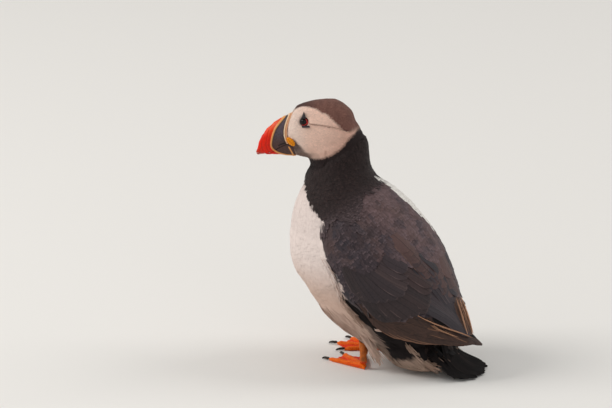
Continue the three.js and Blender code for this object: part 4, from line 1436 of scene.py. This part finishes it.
def clearOfFace(points):  # more than 0 where feathers may root: off the eye and the rosette
    local = inHead(points)
    local[:, 0] = np.abs(local[:, 0])
    eye, corner = (np.linalg.norm(local - [spot["side"], spot["along"], spot["up"]], axis=1) - spot["bare"]
                   for spot in (eyePlace, rosettePlace))
    return np.minimum(eye, corner)


def owned(*names):
    return np.isin(surface.owners, [fleshNames.index(n) for n in names])


def tractColours(name, roots, lines, owners, rng):  # the ground and fringe colours of one tract's feathers
    count = len(roots)
    atRoot = name in ("neck", "bib") or coatSet[name]["vane"] == "hair"
    grounds = plumageTones(lines[:, 0 if atRoot else 2], owners)
    pale = smoothStep(grounds.mean(1), 0.15, 0.4)
    patchy = np.exp(rng.normal(0, 1, count) * (0.1 - (0.05 if name == "face" else 0.08) * pale))[:, None]
    if name in ("mantle", "wing"):
        # the pale grey fringes are partly the feathers' own edges and partly painted sheen
        grounds = mixed(grounds * patchy, shade["scapular"], 0.3 * rng.uniform(0, 1, count) ** 2)
        return grounds, mixed(grounds, shade["greyFringeAndSheen"], rng.uniform(0.0, 0.6, count) ** 1.5)
    if name == "shoulder":
        grounds = shade["strip"] * np.exp(-np.abs(rng.normal(0, 0.06, count)))[:, None]
        return grounds, grounds
    if name == "neck":
        grounds = grounds * patchy
        low = 1 - smoothStep((roots[:, 2] - 0.7 * roots[:, 1]) / mm, 138, 164)
        fringes = mixed(grounds, shade["brownBlack"], 0.32 * rng.uniform(0, 1, count))
        return grounds, mixed(fringes, shade["greyFringeAndSheen"], 0.6 * low * rng.uniform(0, 1, count) ** 1.5)
    # the markings cross the feathers of every other tract
    steps = lines.shape[1]
    local = plumageTones(lines.reshape(-1, 3), np.repeat(owners, steps)).reshape(count, steps, 3)
    grounds = (0.35 * grounds[:, None] + 0.65 * local) * patchy[:, None]
    return grounds, grounds


def layTract(name, chance, seed, stretch=None):
    wanted = coatSet[name]
    roots = surface.scatter(chance, wanted["spacing"] * mm, seed)
    rng = np.random.default_rng(seed + 50)
    count = len(roots)
    size = np.exp(rng.normal(0, 0.12, count))
    if stretch is not None:
        size = size * stretch(roots)
    lengths = wanted["length"] * mm * size
    lines, ups, ways, faces = walk(roots, lengths, coatSteps)
    grounds, fringes = tractColours(name, roots, lines, surface.owners[faces], rng)
    total = 0
    for k, part in enumerate(np.array_split(np.argsort(roots[:, 0]), wanted.get("parts", 1))):
        piece = layVanes(f"{name}Coat{k}", vanes[wanted["vane"]], lines[part], ups[part], ways[part],
                         surface.uv[faces[part]], wanted["width"] * mm * size[part],
                         wanted["lift"] * mm * size[part] ** 0.5, grounds[part], fringes[part], seed + k,
                         soften=wanted["soften"], twist=4 - 2.5 * wanted["soften"])
        piece.data.materials.append(coatFinish if name in darkTracts else paleFinish)
        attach(piece, "root")
        total += len(piece.data.polygons)
    print(name, count, "feathers", total, "faces")


def coverBody():
    free = clearOfFace(surface.centres) > 0
    x, y, z = (surface.centres / mm).T
    local = inHead(surface.centres)
    flank = loopDistance(y, z, darkFlank)
    around, _ = aroundTrunk(surface.centres)
    onArm = owned("wing_left", "wing_right")
    onWings = np.zeros((len(x), 2))
    onWings[onArm] = wingAt(surface.centres[onArm])
    covered = onWings[:, 0] < np.interp(onWings[:, 1], *covertEnd) - 0.07
    onMantle = z > np.interp(np.abs(x), *mantleEnd) + 5
    layTract("face", owned("head") & free, 11)
    chin = (local[:, 2] < -13) & (local[:, 1] > -34) & (local[:, 1] < -8)
    layTract("chin", owned("head") & free & chin, 16)
    pale = plumageTones(surface.centres, surface.owners).mean(1) > 0.2
    nape = owned("trunk") & ~pale & (z > 118)
    top = pale & owned("neck", "trunk") & (z > 116) & (around < 110)
    layTract("bib", top, 22)
    layTract("breast", owned("trunk") & (z > 10) & ((z > 26) | (y < 12)) & ~nape & ~top, 13)
    layTract("neck", (owned("neck") & ~top) | nape, 12,
             lambda roots: np.interp(roots[:, 2] / mm, (155, 180), (1, 0.6)))
    layTract("fluff", owned("trunk") * smoothStep(-z, -58, -30) * (y < 6) * (around < 75), 21)
    layTract("flank", owned("trunk") & (np.abs(flank) < 7) & (np.abs(x) > 12) & (z < 62) & (z > 20), 17)
    layTract("vent", owned("trunk") & (z < 24) & (y > 8) & (y < 44), 18)
    layTract("shoulder", shoulderShare(surface.centres) > 0.5, 19)
    layTract("mantle", owned("mantle") & onMantle, 14,
             lambda roots: np.interp(roots[:, 2] / mm, (70, 100, 130, 150), (1.4, 1.15, 0.85, 0.7)))
    layTract("wing", onArm & covered, 15,
             lambda roots: np.interp(wingAt(roots)[:, 0], (0, 0.15, 0.5), (0.65, 0.95, 1.6)))


coverBody()
layLongFeathers()


def footMaterial():
    s = Shader("footSkin", 0.5, 0.18)
    cell = s.add("TexVoronoi", feature="DISTANCE_TO_EDGE")
    cell.inputs["Scale"].default_value = 900
    s.feed(cell.inputs["Vector"], s.add("TexCoord").outputs["Object"])
    scales = s.ramp(cell.outputs["Distance"], 0.0, 0.14)
    grain = s.blend(scales, (0.72, 0.6, 0.5, 1), (1, 1, 1, 1))
    colour = s.blend(1.0, s.colour("ground"), grain, "MULTIPLY")
    s.surface.inputs["Coat Weight"].default_value = 0.04
    s.surface.inputs["Coat Roughness"].default_value = 0.3
    return s.finish(colour, None, s.bump(scales, 0.00018, 0.8))


def finishSkin():
    points = places(skin)
    paintAttribute(skin, "ground", plumageTones(points, finder.at(points)))
    skin.data.materials.clear()
    skin.data.materials.append(skinMaterial())
    skin.data.materials.append(footMaterial())
    onFoot = (surface.owners >= len(fleshNames)).astype(np.int32)
    skin.data.polygons.foreach_set("material_index", onFoot)
    skin.data.polygons.foreach_set("use_smooth", np.ones(len(onFoot), bool))
    skin.data.update()


finishSkin()
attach(skin, "root")
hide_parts(*fleshNames, *bareNames)


# The bill: horn with a raised ridge between its slate base and its red tip, and curved grooves
billSet = {
    "voxel": 0.3 * mm, "soften": 4,
    "ridge": rounded([(-37.6, 13.4), (-42.7, 7.6), (-46.2, 2.9), (-48.5, -3), (-49.6, -9.5), (-48.7, -13.1),
                      (-45.6, -15.8), (-42.1, -17.4), (-37, -18.7), (-30, -19.2)]),
    "ridgeHeight": 0.5, "ridgeWidth": 0.62,
    "grooves": ((-4.0, 0.18), (-7.4, 0.14)), "grooveWidth": 0.5, "grooveShade": 0.45, "wallHeight": 0.12,
    "baseHeight": 0.25, "nostrilDepth": 0.5, "growth": 0.012,
    "baseLine": [(-35.4, -11.8), (-34.2, -14), (-32.6, -17), (-31.2, -20)],
    "nostril": ((-43.5, -10.6), (-38.5, -8.6)),
}
horn = {
    "red": tone(232, 36, 8), "redHighlight": tone(248, 86, 26),
    "redDeep": tone(150, 18, 12), "redTip": tone(160, 60, 42),
    "yellow": tone(238, 176, 104), "slateTop": tone(88, 78, 86), "slateLow": tone(84, 60, 56),
    "slateDark": tone(50, 40, 40), "cream": tone(240, 208, 172),
    "amber": tone(196, 116, 66), "rosette": tone(238, 150, 20), "rosetteShade": tone(186, 84, 8),
    "eyeRing": tone(206, 30, 24), "lid": tone(40, 30, 32),
    "plate": tone(62, 56, 62), "plateDark": tone(34, 28, 30),
}


def ridgeSigned(across, up):  # distance in front of the ridge is less than 0, behind it more than 0
    return loopDistance(across, up, billSet["ridge"] + [(-24, -24), (-14, 0), (-26, 24)])


def billShape(local):  # how far the horn stands out at each place, and its colour
    x, y, z = local.T
    behind = ridgeSigned(y, z)
    gap, _ = lineDistance(y, z, billSet["ridge"])
    push = billSet["ridgeHeight"] * bell(gap, 0, billSet["ridgeWidth"])
    front = behind < 0
    top = smoothStep(z + y * 0.4, -22, -4)
    # painted highlight: the red is painted lighter towards the bill's top
    colours = mixed(horn["red"], horn["redHighlight"], smoothStep(z + 1.05 * (y + 50), -9, 9))
    colours = mixed(colours, horn["redDeep"], bell(behind, -1.6, 1.1) * 0.35 * front)
    # painted shade: each groove is also painted a deeper red
    for offset, depth in billSet["grooves"]:
        near = bell(behind, offset, billSet["grooveWidth"]) * front * (1 - 0.95 * top)
        push -= depth * near
        colours = mixed(colours, horn["redDeep"], billSet["grooveShade"] * near)
        wall = bell(behind - offset, 1.0, 0.6) * front * (1 - 0.95 * top)
        push += billSet["wallHeight"] * wall
    scuff = smoothStep(waviness(local * mm, 2600, 21) + 0.4 * waviness(local * mm, 6000, 22), 0.5, 1.1)
    colours = mixed(colours, horn["redTip"], 0.35 * scuff * front * smoothStep(-z, 4, 14))
    colours = mixed(colours, horn["redTip"], 0.7 * smoothStep(-y, 55.5, 59) * smoothStep(-z, 12, 18))
    slate = mixed(horn["slateTop"], horn["slateLow"], smoothStep(-z, -2, 12))
    deep = 0.8 * (1 - smoothStep(behind, 0.4, 2.0)) + 0.35 * smoothStep(behind, 6, 9)
    slate = mixed(slate, horn["slateDark"], deep)
    slate = mixed(slate, horn["slateDark"], 0.3 * smoothStep(waviness(local * mm, 3000, 23), -0.2, 0.9))
    colours = mixed(slate, colours, smoothStep(-behind, -0.15, 0.25))
    band = 1 - smoothStep(gap, 0.45, 0.85)
    colours = mixed(colours, mixed(horn["yellow"], horn["amber"], 0.25 + 0.3 * smoothStep(-z, 0, 14)), band)
    gap, _ = lineDistance(y, z, billSet["baseLine"])
    base = (1 - smoothStep(gap, 0.35, 0.7)) * (z < -11.5)
    push += billSet["baseHeight"] * base
    colours = mixed(colours, mixed(horn["yellow"], horn["amber"], 0.4), base)
    slit, _ = lineDistance(y, z, billSet["nostril"])
    hole = (1 - smoothStep(slit, 0.25, 0.75)) * (np.abs(x) > 2)
    push -= billSet["nostrilDepth"] * hole
    # painted shade inside the nostril slit
    colours = mixed(colours, horn["slateDark"] * 0.5, 0.9 * hole)
    lines = np.sin(behind * 7.5 + 0.6 * waviness(local * mm, 1500, 24))
    return push + billSet["growth"] * lines, colours


# the ridge by height: how far forward it lies in the CAD, and how far the visual one is drawn back from there
ridgeLine = {"height": (-14, -9, -5, -1, 2, 6, 8, 11),
             "front": (61.4, 61.2, 60.2, 58.1, 55.8, 51.7, 48.8, 43.3),
             "back": (0, 1.0, 1.8, 2.3, 2.0, 1.9, 1.2, 0), "depth": 10}


def billTip(local):  # the tip reaches forward, and both edges run straight to it
    x, y, z = local.T
    forward = 1.7 * smoothStep(-y, 54, 60) * bell(z, -18.5, 3.6)
    forward -= 0.4 * smoothStep(-y, 53, 58) * bell(z, -13, 3)
    front = np.interp(z, ridgeLine["height"], ridgeLine["front"])
    nearRidge = smoothStep(-y, front - ridgeLine["depth"], front)
    forward -= np.interp(z, ridgeLine["height"], ridgeLine["back"]) * nearRidge
    up = 0.9 * smoothStep(-y, 57, 60) * smoothStep(-z, 12, 18)
    low = 2.0 * bell(y, -50, 6.5) * smoothStep(-z, 8, 16.5)
    return local + np.stack([0 * x, -forward, up - low], 1)


def hornMaterial(title, roughness, grain, depth):
    s = Shader(title, roughness, 0.2)
    patches = s.ramp(s.noise(grain, 5), 0.3, 0.7, 0.88, 1.08)
    colour = s.dimmed(s.colour("ground"), patches)
    rough = s.ramp(s.noise(grain * 0.6, 3), 0.3, 0.7, roughness - 0.08, roughness + 0.12)
    return s.finish(colour, rough, s.bump(s.noise(grain * 2.5, 4), depth, 0.6))


billFinish = hornMaterial("billHorn", 0.34, 700, 0.00012)
plateFinish = hornMaterial("plateHorn", 0.5, 1500, 0.0001)


def copiedHorn(node, title, finish, shape, voxel, soften, swell=0.0, reshape=None):
    piece = copyOfNodes([node], title)
    remeshed(piece, voxel, swell, soften)
    if reshape:
        setPlaces(piece, reshape(places(piece)))
        applied(piece, "SMOOTH", factor=0.5, iterations=6)
    points, normals = places(piece), normalsOf(piece)
    push, colours = shape(inHead(points))
    setPlaces(piece, points + normals * (push * mm)[:, None])
    paintAttribute(piece, "ground", colours)
    piece.data.materials.append(finish)
    pick(piece)
    bpy.ops.object.shade_smooth()
    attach(piece, "root")
    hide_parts(node)


rimSet = {"line": ((-29.6, 19.0), (-43.6, -1.0), (-31.6, -13.0)), "rise": 0.1, "groove": 1.15,
          "grooveWidth": 0.32, "grooveDepth": 0.34, "pitDepth": 0.07}


def rimShape(local):  # the pale ridge at the bill's base: two beads with a groove between
    start, bulge, end = np.array(rimSet["line"])
    line = [tuple((1 - t) ** 2 * start + 2 * t * (1 - t) * bulge + t * t * end)
            for t in np.linspace(0, 1, 24)]
    gap, along = lineDistance(local[:, 1], local[:, 2], line)
    groove = bell(gap, rimSet["groove"], rimSet["grooveWidth"])
    pits = rimSet["pitDepth"] * smoothStep(np.sin(along * 150) * np.cos(gap * 5), 0.4, 1)
    colours = mixed(horn["cream"], horn["amber"], smoothStep(1.5 - gap, 0, 0.5) * 0.55)
    colours = mixed(colours, horn["amber"], 0.85 * groove)
    colours = mixed(colours, horn["amber"], 0.4 * smoothStep(along, 0.6, 1))
    return rimSet["rise"] - rimSet["grooveDepth"] * groove - pits, colours


rosetteSet = {"foldWidth": 0.3, "foldLength": 3.2, "foldDepth": 0.4, "wrinkle": 0.12}


def rosetteShape(local):  # a soft wrinkled pad, folded along its middle
    side = np.sign(local[:, 0])
    turn = np.radians(rosettePlace["turn"])
    x = local[:, 0] * side - rosettePlace["side"]
    y = local[:, 1] - rosettePlace["along"]
    x, y = x * math.cos(turn) - y * math.sin(turn), x * math.sin(turn) + y * math.cos(turn)
    lean = math.radians(rosettePlace["lean"])
    z = local[:, 2] - rosettePlace["up"]
    y, z = y * math.cos(lean) + z * math.sin(lean), -y * math.sin(lean) + z * math.cos(lean)
    fold = bell(z, 0, rosetteSet["foldWidth"]) * (np.abs(y) < rosetteSet["foldLength"])
    wrinkle = np.sin(y * 3.4 + 1.6 * np.cos(z * 2)) * smoothStep(np.abs(z), 0.2, 0.8)
    # painted shade in the middle fold and in the troughs of the wrinkles
    deep = np.clip(0.9 * fold + 0.35 * smoothStep(-wrinkle, 0, 1), 0, 1)
    push = -rosetteSet["foldDepth"] * fold + rosetteSet["wrinkle"] * wrinkle
    return push, mixed(horn["rosette"], horn["rosetteShade"], deep)


def plateShape(local):
    grain = waviness(local * mm, 5000, 31)
    return 0.04 * grain, mixed(horn["plate"], horn["plateDark"], 0.5 + 0.4 * grain)


def makeBill():
    for node in ("bill_upper", "bill_lower"):
        copiedHorn(node, node + "Horn", billFinish, billShape, billSet["voxel"], billSet["soften"],
                   reshape=lambda points: fromHead(billTip(inHead(points))))
    copiedHorn("bill_rim", "billRimHorn", billFinish, rimShape, 0.2 * mm, 3, 0.05 * mm)
    for name in ("left", "right"):
        copiedHorn("rosette_" + name, "rosettePad_" + name, plateFinish, rosetteShape,
                   0.2 * mm, 4, 0.15 * mm)
        for plate in ("eye_crest_", "eye_bar_"):
            copiedHorn(plate + name, plate + name + "Plate", plateFinish, plateShape,
                       0.16 * mm, 5, 0.15 * mm)


makeBill()
print("bill ready")


# The eyes: a glossy ball with a dark brown iris, in a bare red ring
eyeSet = {"look": (0.93, -0.34, 0.14), "inside": 0.05, "pupil": 1.5, "iris": 3.0, "bulge": 0.25,
          "ring": 2.85, "ringThickness": 0.42, "ringOut": 2.8, "corner": 1.3, "cornerAt": -0.35, "folds": 11}
eyeTone = {"iris": tone(34, 22, 18), "irisDeep": tone(20, 14, 12), "pupil": tone(4, 4, 4)}


def eyeCentre(side):
    return np.array([side * eyePlace["side"], eyePlace["along"], eyePlace["up"]])


def eyeAxis(side):  # the way the eye looks, in the head's frame
    return unit(np.array(eyeSet["look"]) * [side, 1, 1])


def eyeMaterial():
    s = Shader("eyeBall", 0.1, 0.25)
    return s.finish(s.colour("ground"), None, s.bump(s.noise(900, 2), 0.00001, 0.2))


def ringMaterial():
    s = Shader("eyeRing", 0.42, 0.5)
    folds = s.noise(2600, 4)
    level = s.ramp(folds, 0.35, 0.65, 0.6, 1.0)
    colour = s.dimmed(s.colour("ground"), level)
    return s.finish(colour, None, s.bump(folds, 0.0002, 0.7))


def makeBall(name, centre, axis, finish):
    deselectAll()
    bpy.ops.mesh.primitive_uv_sphere_add(segments=48, ring_count=32, location=centre,
                                         radius=(eyePlace["radius"] - eyeSet["inside"]) * mm,
                                         rotation=axis.to_track_quat("Z", "Y").to_euler())
    ball = bpy.context.object
    ball.name = "eyeBall_" + name
    bpy.ops.object.transform_apply(location=True, rotation=True, scale=True)
    points = places(ball)
    fromCentre = points - np.array(centre)
    out = fromCentre @ np.array(axis) / mm
    off = np.sqrt(np.maximum((np.linalg.norm(fromCentre, axis=1) / mm) ** 2 - out ** 2, 0))
    facing = out > 0
    iris = mixed(eyeTone["iris"], eyeTone["irisDeep"], smoothStep(off, 1.8, eyeSet["iris"]))
    dark = np.where(facing, 1 - smoothStep(off, eyeSet["pupil"], 2.0), 1)
    swell = np.where(facing, eyeSet["bulge"] * (1 - smoothStep(off, 0, 3.2)), 0)
    setPlaces(ball, points + np.array(axis) * (swell * mm)[:, None])
    paintAttribute(ball, "ground", mixed(iris, eyeTone["pupil"], dark))
    ball.data.materials.append(finish)
    pick(ball)
    bpy.ops.object.shade_smooth()
    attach(ball, "root")
    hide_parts("eye_" + name)


def makeRing(name, side, centre, axis, finish):  # the bare ring round the eye, drawn out to a corner in front
    deselectAll()
    bpy.ops.mesh.primitive_torus_add(major_segments=56, minor_segments=14, major_radius=eyeSet["ring"] * mm,
                                     minor_radius=eyeSet["ringThickness"] * mm,
                                     location=centre + axis * eyeSet["ringOut"] * mm,
                                     rotation=axis.to_track_quat("Z", "Y").to_euler())
    ring = bpy.context.object
    ring.name = "eyeRing_" + name
    bpy.ops.object.transform_apply(location=True, rotation=True, scale=True)
    middle = eyeCentre(side) + eyeAxis(side) * eyeSet["ringOut"]
    local = inHead(places(ring)) - middle
    around = np.arctan2(local[:, 2], local[:, 1])
    corner = bell(around, eyeSet["cornerAt"], 0.35)
    local[:, 1] += eyeSet["corner"] * corner * smoothStep(local[:, 1], 1.5, 3.5)
    local[:, 2] -= 0.25 * corner
    local += eyeAxis(side) * (0.12 * np.sin(around * eyeSet["folds"]) * 0.5)[:, None]
    setPlaces(ring, fromHead(local + middle))
    toRear = np.cos(around + 0.6)  # red at the rear and below, a dark lid in front and above
    paintAttribute(ring, "ground", mixed(horn["lid"], horn["eyeRing"], smoothStep(toRear, -0.25, 0.45)))
    ring.data.materials.append(finish)
    pick(ring)
    bpy.ops.object.shade_smooth()
    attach(ring, "root")


def makeEyes():
    ballFinish, ringFinish = eyeMaterial(), ringMaterial()
    for name, side in (("left", 1), ("right", -1)):
        centre = Vector(fromHead(eyeCentre(side)))
        axis = Vector(headTurn @ eyeAxis(side))
        makeBall(name, centre, axis, ballFinish)
        makeRing(name, side, centre, axis, ringFinish)


makeEyes()
print("eyes ready")


# The claws: dark ribbed horn
clawSet = {"dark": tone(34, 30, 29), "pale": tone(66, 56, 50), "overlap": 3, "draw": 2.2, "lift": 0.25}


def clawShape(local):
    grain = waviness(local * mm, 4000, 51)
    return 0.03 * grain, mixed(clawSet["dark"], clawSet["pale"], 0.4 + 0.4 * grain)


def clawBase(points, side):  # draws each claw's base back into the tip of its toe
    heel = np.array([footSet["heelSpread"] * (1 if side == "left" else -1), footSet["steps"][side]])
    away = points[:, :2] / mm - heel
    reach = np.linalg.norm(away, axis=1)
    start = reach.min()
    share = 1 - smoothStep(reach, start, start + clawSet["overlap"])
    moved = points.copy()
    moved[:, :2] = (heel + away * (1 - clawSet["draw"] * share / reach)[:, None]) * mm
    moved[:, 2] += clawSet["lift"] * share * mm
    return moved


def makeClaws():
    clawFinish = hornMaterial("clawHorn", 0.36, 1200, 0.0001)
    for name in [n for n in frame["nodes"] if n.startswith("claw_")]:
        copiedHorn(name, name + "Horn", clawFinish, clawShape, 0.2 * mm, 4, 0.08 * mm,
                   lambda points: clawBase(points, name.split("_")[1]))


makeClaws()
print("claws ready")
